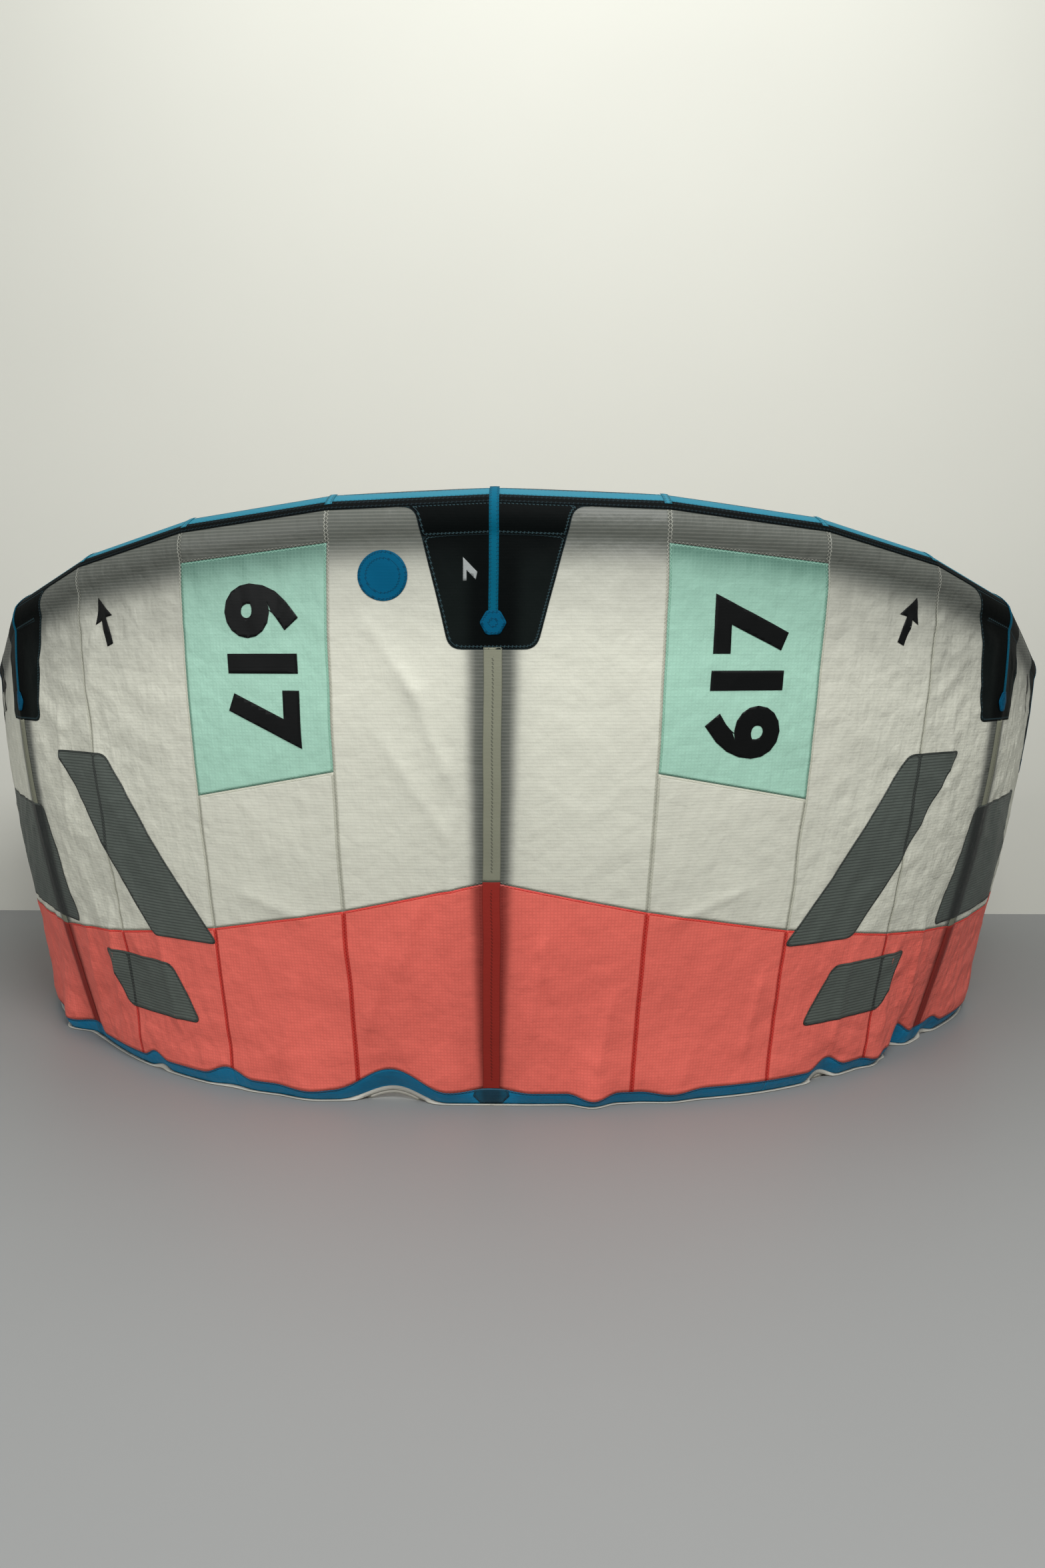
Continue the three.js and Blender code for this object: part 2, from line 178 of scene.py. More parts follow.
@dataclass
class Wing:
    """The standing wing: where each place and level of the cloth is."""

    stations: Sequence[Station] = (
        Station((0, 0), (0, -155, 1288), 70, 48, 537),
        Station((306, 17), (333, -127, 1277), 70, 46, 465),
        Station((615, 95), (660, -8, 1245), 69, 26, 400),
        Station((876, 268), (944, 182, 1188), 68, 28, 352),
        Station((1078, 493), (1197, 432, 1106), 66, 46, 322),
        Station((1290, 775), (1342, 709, 1039), 62, 36, 330),
        Station((1364, 1070), (1487, 986, 972), 58, 34, 350),
        Station((1388, 1440), (1590, 1442, 800), 48, 24, 300),
        Station((1366, 1800), (1580, 1990, 470), 36, 10, 200),
    )
    folds: Sequence[Fold] = (
        Fold(-1362, 95, 0, -4, 34),
        Fold(-872, 50, 10, 8, 0),
        Fold(-627, 75, 3, 20, -6),
        Fold(-417, 90, 0, -8, 14),
        Fold(-227, 130, 30, 22, -26),
        Fold(228, 60, 0, -14, 24),
        Fold(408, 80, 0, -10, 10),
        Fold(818, 65, 20, 6, -8),
        Fold(998, 60, 0, -12, 12),
        Fold(1148, 85, 12, 26, -46),
        Fold(1323, 70, 12, 10, -10),
    )
    creases: Sequence[Crease] = (
        Crease((-62, 60), (-78, 640), 20, 5.0),
        Crease((-98, 330), (-70, 760), 15, 3.0),
        Crease((-60, 700), (-170, 1010), 22, 3.5),
        Crease((-45, 560), (-240, 900), 26, 3.0),
        Crease((-110, 880), (-250, 1120), 24, 3.0),
        Crease((-200, 300), (-130, 520), 18, 2.5),
        Crease((-290, 120), (-200, 420), 24, 3.0),
        Crease((70, 90), (120, 480), 20, 3.0),
        Crease((140, 240), (90, 420), 16, 2.0),
        Crease((230, 60), (260, 300), 20, 3.5),
        Crease((330, 420), (560, 520), 26, 2.5),
        Crease((-360, 430), (-560, 500), 26, 2.5),
        Crease((-480, 60), (-420, 330), 24, 3.5),
        Crease((560, 60), (600, 330), 22, 3.0),
        Crease((820, 60), (840, 330), 22, 4.0),
        Crease((1130, 60), (1080, 420), 30, 6.0),
        Crease((1010, 60), (985, 330), 22, 4.0),
        Crease((-1010, 60), (-960, 430), 26, 4.5),
        Crease((-1130, 80), (-1090, 360), 22, 4.0),
        Crease((-760, 90), (-800, 420), 24, 3.0),
        Crease((1090, 560), (1040, 950), 24, 3.5),
        Crease((-1080, 520), (-1040, 930), 24, 3.5),
        Crease((820, 980), (720, 1150), 18, 2.5),
        Crease((-820, 980), (-730, 1150), 18, 2.5),
        Crease((930, 900), (860, 1120), 16, 2.5),
        Crease((-930, 880), (-870, 1120), 16, 2.5),
        Crease((420, 1040), (330, 1230), 20, 2.0),
        Crease((-420, 1040), (-350, 1230), 20, 2.0),
        Crease((240, 900), (190, 1180), 20, 2.0),
    )
    origin: Spot = (-0.01123, -0.88152, 0.0)
    lean: float = 0.014
    join: float = math.radians(-22.5)
    gap: float = 0.3
    cloth: float = 1.2
    band_width: float = 42
    band_rise: float = 33
    band_slump: float = 20
    slump_height: float = 260
    hem: float = 18
    strut_hold: float = 95
    sway: float = 13
    sway_bays: float = 2
    mint_low: Point = (770, 65)
    mint_high: Point = (1242, 31)
    level_step: float = 0.05
    spots_per_bay: int = 8

    def __post_init__(self) -> None:
        """Works out the stations of both half wings, the trailing edge and the ways along the cloth."""
        self.last = len(self.stations) - 1
        places = range(-self.last, self.last + 1)
        rows = [self.stations[abs(place)] for place in places]
        sides = [math.copysign(1, place) for place in places]
        self.edge = np.array([(s * r.edge[0], r.edge[1], 0) for s, r in zip(sides, rows)]) * MM
        tubes = [(s * r.tube[0] + self.lean * r.tube[2], r.tube[1], r.tube[2]) for s, r in zip(sides, rows)]
        self.tube = np.array(tubes) * MM
        shift = self.sway * MM * np.maximum(1 - np.abs(np.array(places)) / self.sway_bays, 0)
        self.edge[:, 0] -= shift
        self.tube[:, 0] -= shift
        self.radius, self.bulge, self.seam = np.array([(r.radius, r.bulge, r.seam) for r in rows]).T * MM
        spans = np.concatenate([self.tube[:1], self.tube, self.tube[-1:]])
        self.out = outward(spans[2:] - spans[:-2])
        steps = np.linalg.norm(np.diff(self.edge, axis=0), axis=1)
        self.run = np.concatenate([[0], np.cumsum(steps)])
        self.run -= self.run[self.last]
        self.curve = self._curve()
        self.spread_places = np.linspace(-self.last, self.last, 2 * self.last * self.spots_per_bay + 1)
        self.spread = np.array([self._spread(level) for level in np.arange(0, 1.45, self.level_step)])

    def _curve(self) -> Array:
        """Centripetal curve through the trailing edge's points.

        Returns:
            Four coefficients for each span.
        """
        p = self.edge
        p = np.concatenate([[2 * p[0] - p[1]], p, [2 * p[-1] - p[-2]]])
        dt = np.linalg.norm(np.diff(p, axis=0), axis=1)[:, None] ** 0.5
        x0, x1, x2, x3 = p[:-3], p[1:-2], p[2:-1], p[3:]
        d0, d1, d2 = dt[:-2], dt[1:-1], dt[2:]
        t1 = ((x1 - x0) / d0 - (x2 - x0) / (d0 + d1) + (x2 - x1) / d1) * d1
        t2 = ((x2 - x1) / d1 - (x3 - x1) / (d1 + d2) + (x3 - x2) / d2) * d1
        return np.stack([x1, t1, -3 * x1 + 3 * x2 - 2 * t1 - t2, 2 * x1 - 2 * x2 + t1 + t2], axis=1)

    def _spread(self, level: float) -> Array:
        """Measures along the cloth from the middle of the kite.

        Args:
            level: The level to measure at, in metres.

        Returns:
            The distance to each of the closely spaced places.
        """
        column = self.column(self.spread_places)
        points = self.bare(column, np.full(len(self.spread_places), level), 0.0)
        way = np.concatenate([[0], np.cumsum(np.linalg.norm(np.diff(points, axis=0), axis=1))])
        return way - way[len(way) // 2]

    def place_of(self, start: float, across: Array, level: Array) -> Array:
        """Finds places by their distance along the cloth.

        Args:
            start: The place that distances are measured from.
            across: Distance along the cloth from there, in metres.
            level: The level that each is measured at.

        Returns:
            The places.
        """
        found = np.empty(len(across))
        shares = np.clip(level / self.level_step, 0, len(self.spread) - 1.001)
        for index, (way, share) in enumerate(zip(across, shares)):
            low = int(share)
            row = self.spread[low] + (self.spread[low + 1] - self.spread[low]) * (share - low)
            found[index] = np.interp(np.interp(start, self.spread_places, row) + way, row, self.spread_places)
        return found

    def apart(self, ends: Point, level: float) -> float:
        """Distance along the cloth between two seams at about one level, in metres."""
        row = self.spread[min(round(level / self.level_step), len(self.spread) - 1)]
        return float(np.ptp(np.interp(ends, self.spread_places, row)))

    def at(self, place: float) -> Column:
        """The column of a single place."""
        return self.column(np.array([float(place)]))

    def column(self, place: Array) -> Column:
        """Works out everything that depends on place alone.

        Args:
            place: Places of the points.

        Returns:
            One row of each field for each place.
        """
        position = np.clip(np.asarray(place, float) + self.last, 0, 2 * self.last)
        low = np.minimum(position.astype(int), 2 * self.last - 1)
        part = position - low

        def between(rows: Array) -> Array:
            """The stations' values at these places."""
            share = part[..., None] if rows.ndim == 2 else part
            return rows[low] + (rows[low + 1] - rows[low]) * share

        c = self.curve[low]
        t = part[..., None]
        edge = c[..., 0, :] + t * (c[..., 1, :] + t * (c[..., 2, :] + t * c[..., 3, :]))
        along = c[..., 1, :] + t * (2 * c[..., 2, :] + 3 * t * c[..., 3, :])
        run = between(self.run)
        held = hump(self.strut_way(run) / MM, self.strut_hold)
        lift, push = np.zeros(run.shape), np.zeros(run.shape)
        top = self.band_rise + (self.band_width - self.band_rise) * held
        for fold in self.folds:
            share = hump(run / MM - fold.at, fold.reach) * (1 - held)
            lift += fold.lift * share
            top += (fold.lift + fold.rise) * share
            push += fold.push * share
        return Column(
            place, low, part, run, edge, outward(along), between(self.out), between(self.radius),
            between(self.bulge), between(self.seam), lift * MM, top * MM, push * MM,
            self.band_slump * (1 - held) * MM,
        )  # fmt: skip

    def on_tube(self, column: Column, angle: Array, clear: Array) -> Array:
        """Finds points round the leading-edge tube.

        Args:
            column: Their columns.
            angle: Their angles above level, in radians.
            clear: How far outside the tube they lie, in metres.

        Returns:
            Their positions in the wing's own axes.
        """
        ends = []
        for row in (column.low, column.low + 1):
            far = (self.radius[row] + clear)[..., None]
            rise = np.zeros((*far.shape[:-1], 3))
            rise[..., 2] = np.sin(angle)
            level = self.out[row] * np.broadcast_to(np.cos(angle), far.shape[:-1])[..., None]
            ends.append(self.tube[row] + far * (level + rise))
        return ends[0] + (ends[1] - ends[0]) * column.part[..., None]

    def join_level(self, column: Column) -> Array:
        """The level at which the canopy meets the tube."""
        return self.on_tube(column, self.join, self.gap * MM)[..., 2]

    def level_round(self, column: Column, degrees: float) -> Array:
        """The level that is so many degrees above level round the tube."""
        return self.join_level(column) + (math.radians(degrees) - self.join) * column.radius

    def bare(self, column: Column, level: Array, depth: Array) -> Array:
        """Finds points of the uncreased cloth.

        Args:
            column: Their columns.
            level: Their levels, in metres.
            depth: How far outside the inner face they lie, in metres.

        Returns:
            Their positions in the wing's own axes.
        """
        join = self.on_tube(column, self.join, self.gap * MM)
        share = np.minimum(level / join[..., 2], 1)
        slack = np.maximum(1 - level / (self.slump_height * MM), 0) ** 2
        bow = column.bulge * share * (1 - share) * (1 + 0.6 * share) / 0.335
        bow = bow + (column.push + column.slump) * slack + depth
        out = unit(column.edge_out + (column.tube_out - column.edge_out) * share[..., None])
        flat = column.edge + (join - column.edge) * share[..., None] + out * bow[..., None]
        angle = self.join + np.maximum(level - join[..., 2], 0) / column.radius
        round_tube = self.on_tube(column, angle, self.gap * MM + depth)
        return np.where((level < join[..., 2])[..., None], flat, round_tube)

    def strut_way(self, run: Array) -> Array:
        """Distance along the trailing edge to the nearest strut, in metres."""
        return np.min([np.abs(run - self.run[place + self.last]) for place in STRUTS.values()], 0)

    def relief(self, column: Column, level: Array) -> Array:
        """Crumples the cloth.

        Args:
            column: Columns of the points.
            level: Their levels, in metres.

        Returns:
            How far each stands out of the bare cloth, in metres.
        """
        join = self.join_level(column)
        run, below = column.run, join - level

        def grain(across: float, up: float, slant: float = 0.0, seed: float = 0.0) -> Array:
            """Noise with so many swells to the metre across the cloth and up it."""
            spots = [(run + slant * level) * across, (level - slant * run) * up, 0 * run + seed]
            return noise_at(np.stack(spots, -1))

        outer = smooth((np.abs(run) - 0.55) / 0.45)
        top = smooth(1 - below / 0.26)
        low = smooth(1 - level / 0.35)
        total = 3.2 * grain(2.6, 2.0)
        total += (1.2 + 1.4 * outer) * (1 - 2.4 * np.abs(grain(7, 4, 0.45, 3.0)))
        total += (0.7 + 1.7 * outer) * (0.7 - 2.2 * np.abs(grain(13, 9, -0.5, 7.0)))
        total += (0.2 + 1.0 * outer) * (0.3 + 0.7 * top) * (0.7 - 2.2 * np.abs(grain(27, 17, 0.7, 8.0)))
        total += 3.0 * top * grain(22, 3.2, 0.1, 5.0) + 1.1 * top * grain(42, 8, 0.2, 6.0)
        total += 3.0 * low * grain(4, 15, 0.15, 9.0)
        for crease in self.creases:
            start, end = (np.array(point) * MM for point in (crease.start, crease.end))
            along = end - start
            length = float(np.hypot(*along))
            share = ((run - start[0]) * along[0] + (level - start[1]) * along[1]) / length**2
            aside = ((run - start[0]) * along[1] - (level - start[1]) * along[0]) / length
            fade = smooth(share / 0.25) * smooth((1 - share) / 0.25)
            total += 1.5 * crease.height * fade * np.exp(-np.abs(aside) / (crease.width * MM * 0.6))
        calm = smooth((below - 0.004) / 0.05) * smooth((level - 0.02) / 0.05)
        return 1.25 * total * MM * calm * (0.12 + 0.88 * smooth((self.strut_way(column.run) - 0.03) / 0.06))

    def drift(self, column: Column, level: Array) -> Array:
        """How far seams wander along the cloth, in metres."""
        rows = np.stack([column.run * 3, level * 9, 0 * level + 21], -1)
        return 2.2 * MM * noise_at(rows) * smooth((self.join_level(column) - level) / 0.05)

    def cloth_at(self, place: Array, level: Array, depth: Array = 0.0) -> Array:
        """Points of the creased cloth.

        Args:
            place: Places of the points.
            level: Their levels, in metres.
            depth: How far outside the canopy's outer face they lie, in metres.

        Returns:
            Their positions in the kite's frame.
        """
        column = self.column(place)
        depth = self.relief(column, level) + depth + self.cloth * MM
        aside = beside(column.edge_out) * self.drift(column, level)[..., None]
        return self.bare(column, level, depth) + aside + self.origin

    def round_at(self, place: Array, angle: Array, clear: Array) -> Array:
        """Points in the kite's frame, clear of the leading-edge tube by so much, at angles above level."""
        return self.on_tube(self.column(place), angle, clear) + self.origin

    def band_at(self, place: Array, share: Array) -> Array:
        """Finds points of the trailing-edge band's outer face.

        Args:
            place: Places of the points.
            share: From 0 to 1 up the loose hem, and from 1 to 2 up the band.

        Returns:
            Their positions in the kite's frame.
        """
        column = self.column(place)
        hem, depth = self.hem * MM, self.cloth * MM
        drop = np.minimum(column.lift, hem)
        reach = np.sqrt(hem**2 - drop**2)
        tip = column.edge + column.edge_out * (column.push - reach + depth * drop / hem)[..., None]
        tip[..., 2] = column.lift - drop
        turn = column.edge + column.edge_out * (column.push + depth)[..., None]
        turn[..., 2] = column.lift
        seam = self.bare(column, column.top, self.relief(column, column.top) + depth)
        seam = seam + beside(column.edge_out) * self.drift(column, column.top)[..., None]
        low, high = np.clip(share, 0, 1)[..., None], np.clip(share - 1, 0, 1)[..., None]
        belly = column.edge_out * (1.6 * MM * np.sin(np.pi * high[..., 0]))[..., None]
        return tip + (turn - tip) * low + (seam - turn) * high + belly + self.origin

    def shade(self, place: Array, level: Array) -> Array:
        """Painted shade: the share of the light that a dark tube behind the cloth takes away.

        Args:
            place: Places of the points.
            level: Their levels, in metres.

        Returns:
            0 in full light and 1 in full shade.
        """
        column = self.column(place)
        join = self.join_level(column)
        below = join - level
        way = self.strut_way(column.run)
        thick = 0.0165 + 0.028 * np.sqrt(np.clip(level / join, 0, 1))
        strut = 0.85 * (1 - smooth((way / thick - 0.70) / 0.75)) + 0.15 * (1 - smooth(way / 0.1))
        tube = 0.54 * (1 - smooth((below - 0.005) / 0.075)) + 0.46 * (1 - smooth(below / 0.27))
        return 1 - (1 - strut) * (1 - tube)


# ---------------------------------------------------------------- finishes


def linear(colour: str) -> tuple[float, float, float, float]:
    """Turns an sRGB hex value to the linear colour that a shader takes.

    Args:
        colour: Such as "#d6d4c9".

    Returns:
        Red, green, blue and an alpha of 1.
    """
    parts = [int(colour[i : i + 2], 16) / 255 for i in (1, 3, 5)]
    red, green, blue = (p / 12.92 if p <= 0.04045 else ((p + 0.055) / 1.055) ** 2.4 for p in parts)
    return red, green, blue, 1.0


def scaled(colour: str, share: float) -> tuple[float, float, float, float]:
    """A colour with so many times the light."""
    return (*(min(1.0, share * part) for part in linear(colour)[:3]), 1.0)


def node(tree: bpy.types.NodeTree, kind: str, sockets: dict | None = None, **settings) -> bpy.types.Node:
    """Adds one shader node.

    Args:
        tree: The material's or world's nodes.
        kind: The node's type, without the words that every shader node's type starts with.
        sockets: For each input by name or number, its value, or the output or node that feeds it.
        **settings: The node's own properties.

    Returns:
        The node.
    """
    made = tree.nodes.new("ShaderNode" + kind)
    for name, value in settings.items():
        setattr(made, name, value)
    for name, value in (sockets or {}).items():
        if isinstance(value, bpy.types.Node):
            value = value.outputs[0]
        if isinstance(value, bpy.types.NodeSocket):
            tree.links.new(value, made.inputs[name])
        else:
            made.inputs[name].default_value = value
    return made


def blank(name: str) -> tuple[bpy.types.Material, Adder]:
    """Starts an empty material.

    Args:
        name: Its name.

    Returns:
        The material, and what adds nodes to it.
    """
    material = bpy.data.materials.new(name)
    material.use_nodes = True
    material.node_tree.nodes.clear()
    return material, partial(node, material.node_tree)


def stitched(add: Adder, away: object, along: object, offset: float) -> bpy.types.Node:
    """A zigzag row of thread beside an edge.

    The real thread is 0.4 mm thick, which is drawn 1.4 mm so that it shows.

    Args:
        add: Adds a node to the material.
        away: Distance from the edge, in metres.
        along: Distance along it, in metres.
        offset: How far from the edge the row runs, in metres.

    Returns:
        A node that gives 1 on the thread and 0 beside it.
    """
    half, swing, thread = 0.004, 0.0016, 0.0007
    way = add("Math", {0: along, 1: half}, operation="PINGPONG")
    line = add("Math", {0: way, 1: 2 * swing / half, 2: offset - swing}, operation="MULTIPLY_ADD")
    gap = add("Math", {0: add("Math", {0: away, 1: line}, operation="SUBTRACT")}, operation="ABSOLUTE")
    return add("MapRange", {0: gap, 1: thread, 2: 2 * thread, 3: 1.0, 4: 0.0})


@dataclass(frozen=True)
class Ripstop:
    """Coated polyester ripstop: crisp, thin and half clear, with a thick thread every few millimetres.

    The real thick threads stand 5 mm apart, and are drawn 7.2 mm apart so that they show.
    """

    name: str
    colour: str
    # the colour of the painted shade where a tube lies behind the cloth, also drawn on the ribs
    shaded: str
    sewn: str
    rib: float = 7.2
    rib_depth: float = 0.10
    square: bool = False
    clear: float = 0.25
    roughness: float = 0.5
    seam_share: float = 0.6
    doubling: float = 5.1
    thread_offset: float = 2.4
    crinkles: tuple[float, float, float] = (1.6, 0.5, 2.4)  # fine, cracked and streaked, in millimetres
    outer_crinkles: float = 2.2  # how much rougher the outer panels are

    @cache
    def build(self) -> bpy.types.Material:
        """Makes the thread grid, the crinkle, the doubled and sewn seams and the painted shade of what is
        behind.

        Returns:
            The material.
        """
        material, add = blank(self.name)
        uv = add("UVMap", uv_map="cloth")
        across, up, _ = add("SeparateXYZ", {0: uv}).outputs
        shade, side, end = (
            add("Attribute", attribute_name=name).outputs["Fac"] for name in ("shade", "side", "end")
        )
        wave = {"Vector": uv, "Scale": 2 * math.pi / (20 * self.rib * MM)}
        ribs = add("TexWave", wave, bands_direction="Y").outputs["Fac"]
        if self.square:
            cross = add("TexWave", wave, bands_direction="X").outputs["Fac"]
            ribs = add("Math", {0: ribs, 1: cross}, operation="MAXIMUM")
        ribs = add("Math", {0: ribs, 1: 3.0}, operation="POWER")
        near, far = (self.doubling - 0.5) * MM, (self.doubling + 0.5) * MM
        doubled = [add("MapRange", {0: away, 1: near, 2: far, 3: 1.0, 4: 0.0}) for away in (side, end)]
        seam = add("Math", dict(enumerate(doubled)), operation="MAXIMUM")
        threads = [stitched(add, *way, self.thread_offset * MM) for way in ((side, up), (end, across))]
        thread = add("Math", dict(enumerate(threads)), operation="MAXIMUM")

        cloudy = add("TexNoise", {"Vector": uv, "Scale": 9.0, "Detail": 3.0})
        # painted shade, a little weaker on the thick threads so that they show paler in it
        painted_shade_share = add("Math", {0: ribs, 1: -0.09, 2: 1.0}, operation="MULTIPLY_ADD")
        colour = linear(self.colour)
        for share, amount, over in (
            (cloudy, 1.0, scaled(self.colour, 0.93)),
            (ribs, self.rib_depth, linear(self.shaded)),
            (seam, self.seam_share, linear(self.sewn)),
            # painted shade of the tubes behind, drawn into the colour
            (shade, painted_shade_share, linear(self.shaded)),
            (thread, 0.35, linear(self.colour)),
        ):
            share = add("Math", {0: share, 1: amount}, operation="MULTIPLY")
            colour = add("Mix", {0: share, 6: colour, 7: over}, data_type="RGBA").outputs[2]

        fine = add("TexNoise", {"Vector": uv, "Scale": 34.0, "Detail": 4.0})
        cracks = add("TexVoronoi", {"Vector": uv, "Scale": 17.0}, feature="DISTANCE_TO_EDGE")
        cracks = add("MapRange", {0: cracks, 1: 0.0, 2: 0.3})
        leaning = add("Mapping", {"Vector": uv, "Rotation": (0, 0, 0.45), "Scale": (1, 0.3, 1)})
        streaks = add("TexNoise", {"Vector": leaning, "Scale": 44.0, "Detail": 4.0})
        outer = add("Math", {0: across}, operation="ABSOLUTE")
        wild = add("MapRange", {0: outer, 1: 0.5, 2: 1.1, 3: 1.0, 4: self.outer_crinkles})
        height = 0.0
        for value, amount in zip((fine, cracks, streaks), self.crinkles):
            height = add("Math", {0: value, 1: amount * MM, 2: height}, operation="MULTIPLY_ADD")
        height = add("Math", {0: height, 1: wild}, operation="MULTIPLY")
        for value, amount in ((ribs, 0.12), (seam, 0.4), (thread, 0.4)):
            height = add("Math", {0: value, 1: amount * MM, 2: height}, operation="MULTIPLY_ADD")
        bump = add("Bump", {"Strength": 1.0, "Distance": 1.0, "Height": height})
        look = {"Base Color": colour, "Roughness": self.roughness, "Specular IOR Level": 0.35, "Normal": bump}
        glow = add("BsdfTranslucent", {"Color": colour, "Normal": bump})
        both = add("MixShader", {0: self.clear, 1: add("BsdfPrincipled", look), 2: glow})
        add("OutputMaterial", {0: both})
        return material


@dataclass(frozen=True)
class Dacron:
    """Heavy woven polyester: dense and matt, with a fine rib, sewn down along its edges.

    The real rib is under 1 mm wide, which is drawn 2 to 3 mm so that it shows.
    """

    name: str
    colour: str
    thread: str = "#3a4046"
    shaded: str = ""
    weave: float = 3.0
    roughness: float = 0.62
    rows: tuple[float, ...] = (0.004,)
    crumple: float = 0.0012
    relief: float = 0.00012
    gloss: float = 0.35

    @cache
    def build(self) -> bpy.types.Material:
        """Makes the rib, the crumple, the rows of thread beside the edges, a painted highlight along the
        edges and any painted shade.

        Returns:
            The material.
        """
        material, add = blank(self.name)
        uv = add("UVMap", uv_map="cloth")
        across, up, _ = add("SeparateXYZ", {0: uv}).outputs
        rim = add("Attribute", attribute_name="rim").outputs["Fac"]
        along = add("Math", {0: across, 1: up}, operation="ADD")
        wave = {"Vector": uv, "Scale": 2 * math.pi / (20 * self.weave * MM)}
        ribs = add("TexWave", wave, bands_direction="Y").outputs["Fac"]
        cloudy = add("TexNoise", {"Vector": uv, "Scale": 14.0, "Detail": 4.0})
        fine = add("TexNoise", {"Vector": uv, "Scale": 45.0, "Detail": 4.0})
        shadow = add("Math", {0: ribs, 1: 0.22}, operation="MULTIPLY")
        # a paler line within 2 mm of each edge: a painted highlight where the edge catches the light
        painted_edge_highlight = add("MapRange", {0: rim, 1: 0.0, 2: 0.002, 3: 0.5, 4: 0.0})
        pale, dark = scaled(self.colour, 1.2), scaled(self.colour, 0.55)
        layers = [(cloudy, pale), (shadow, dark), (painted_edge_highlight, linear(self.thread))]
        # painted shade where a dark tube lies behind the cloth
        if self.shaded:
            shade = add("Attribute", attribute_name="shade").outputs["Fac"]
            layers.insert(1, (shade, linear(self.shaded)))
        height = add("Math", {0: fine, 1: self.crumple}, operation="MULTIPLY")
        height = add("Math", {0: ribs, 1: self.relief, 2: height}, operation="MULTIPLY_ADD")
        for offset in self.rows:
            row = stitched(add, rim, along, offset)
            layers.append((row, linear(self.thread)))
            height = add("Math", {0: row, 1: 0.4 * MM, 2: height}, operation="MULTIPLY_ADD")
        colour = linear(self.colour)
        for share, over in layers:
            colour = add("Mix", {0: share, 6: colour, 7: over}, data_type="RGBA").outputs[2]
        look = {"Base Color": colour, "Roughness": self.roughness, "Specular IOR Level": self.gloss}
        look["Normal"] = add("Bump", {"Strength": 0.7, "Distance": 1.0, "Height": height})
        add("OutputMaterial", {0: add("BsdfPrincipled", look)})
        return material


@dataclass(frozen=True)
class Plain:
    """A painted floor or wall."""

    name: str
    colour: str
    roughness: float = 0.8
    one_sided: bool = False

    def build(self) -> bpy.types.Material:
        """Makes a plain colour with faint clouds; a one-sided one is clear from its back.

        Returns:
            The material.
        """
        material, add = blank(self.name)
        spot = add("TexCoord").outputs["Object"]
        cloudy = add("TexNoise", {"Vector": spot, "Scale": 1.2, "Detail": 4.0})
        mixed = {0: cloudy, 6: linear(self.colour), 7: scaled(self.colour, 0.95)}
        colour = add("Mix", mixed, data_type="RGBA").outputs[2]
        look = {"Base Color": colour, "Roughness": self.roughness, "Specular IOR Level": 0.3}
        face = add("BsdfPrincipled", look)
        if self.one_sided:
            back = add("NewGeometry").outputs["Backfacing"]
            face = add("MixShader", {0: back, 1: face, 2: add("BsdfTransparent")})
        add("OutputMaterial", {0: face})
        return material


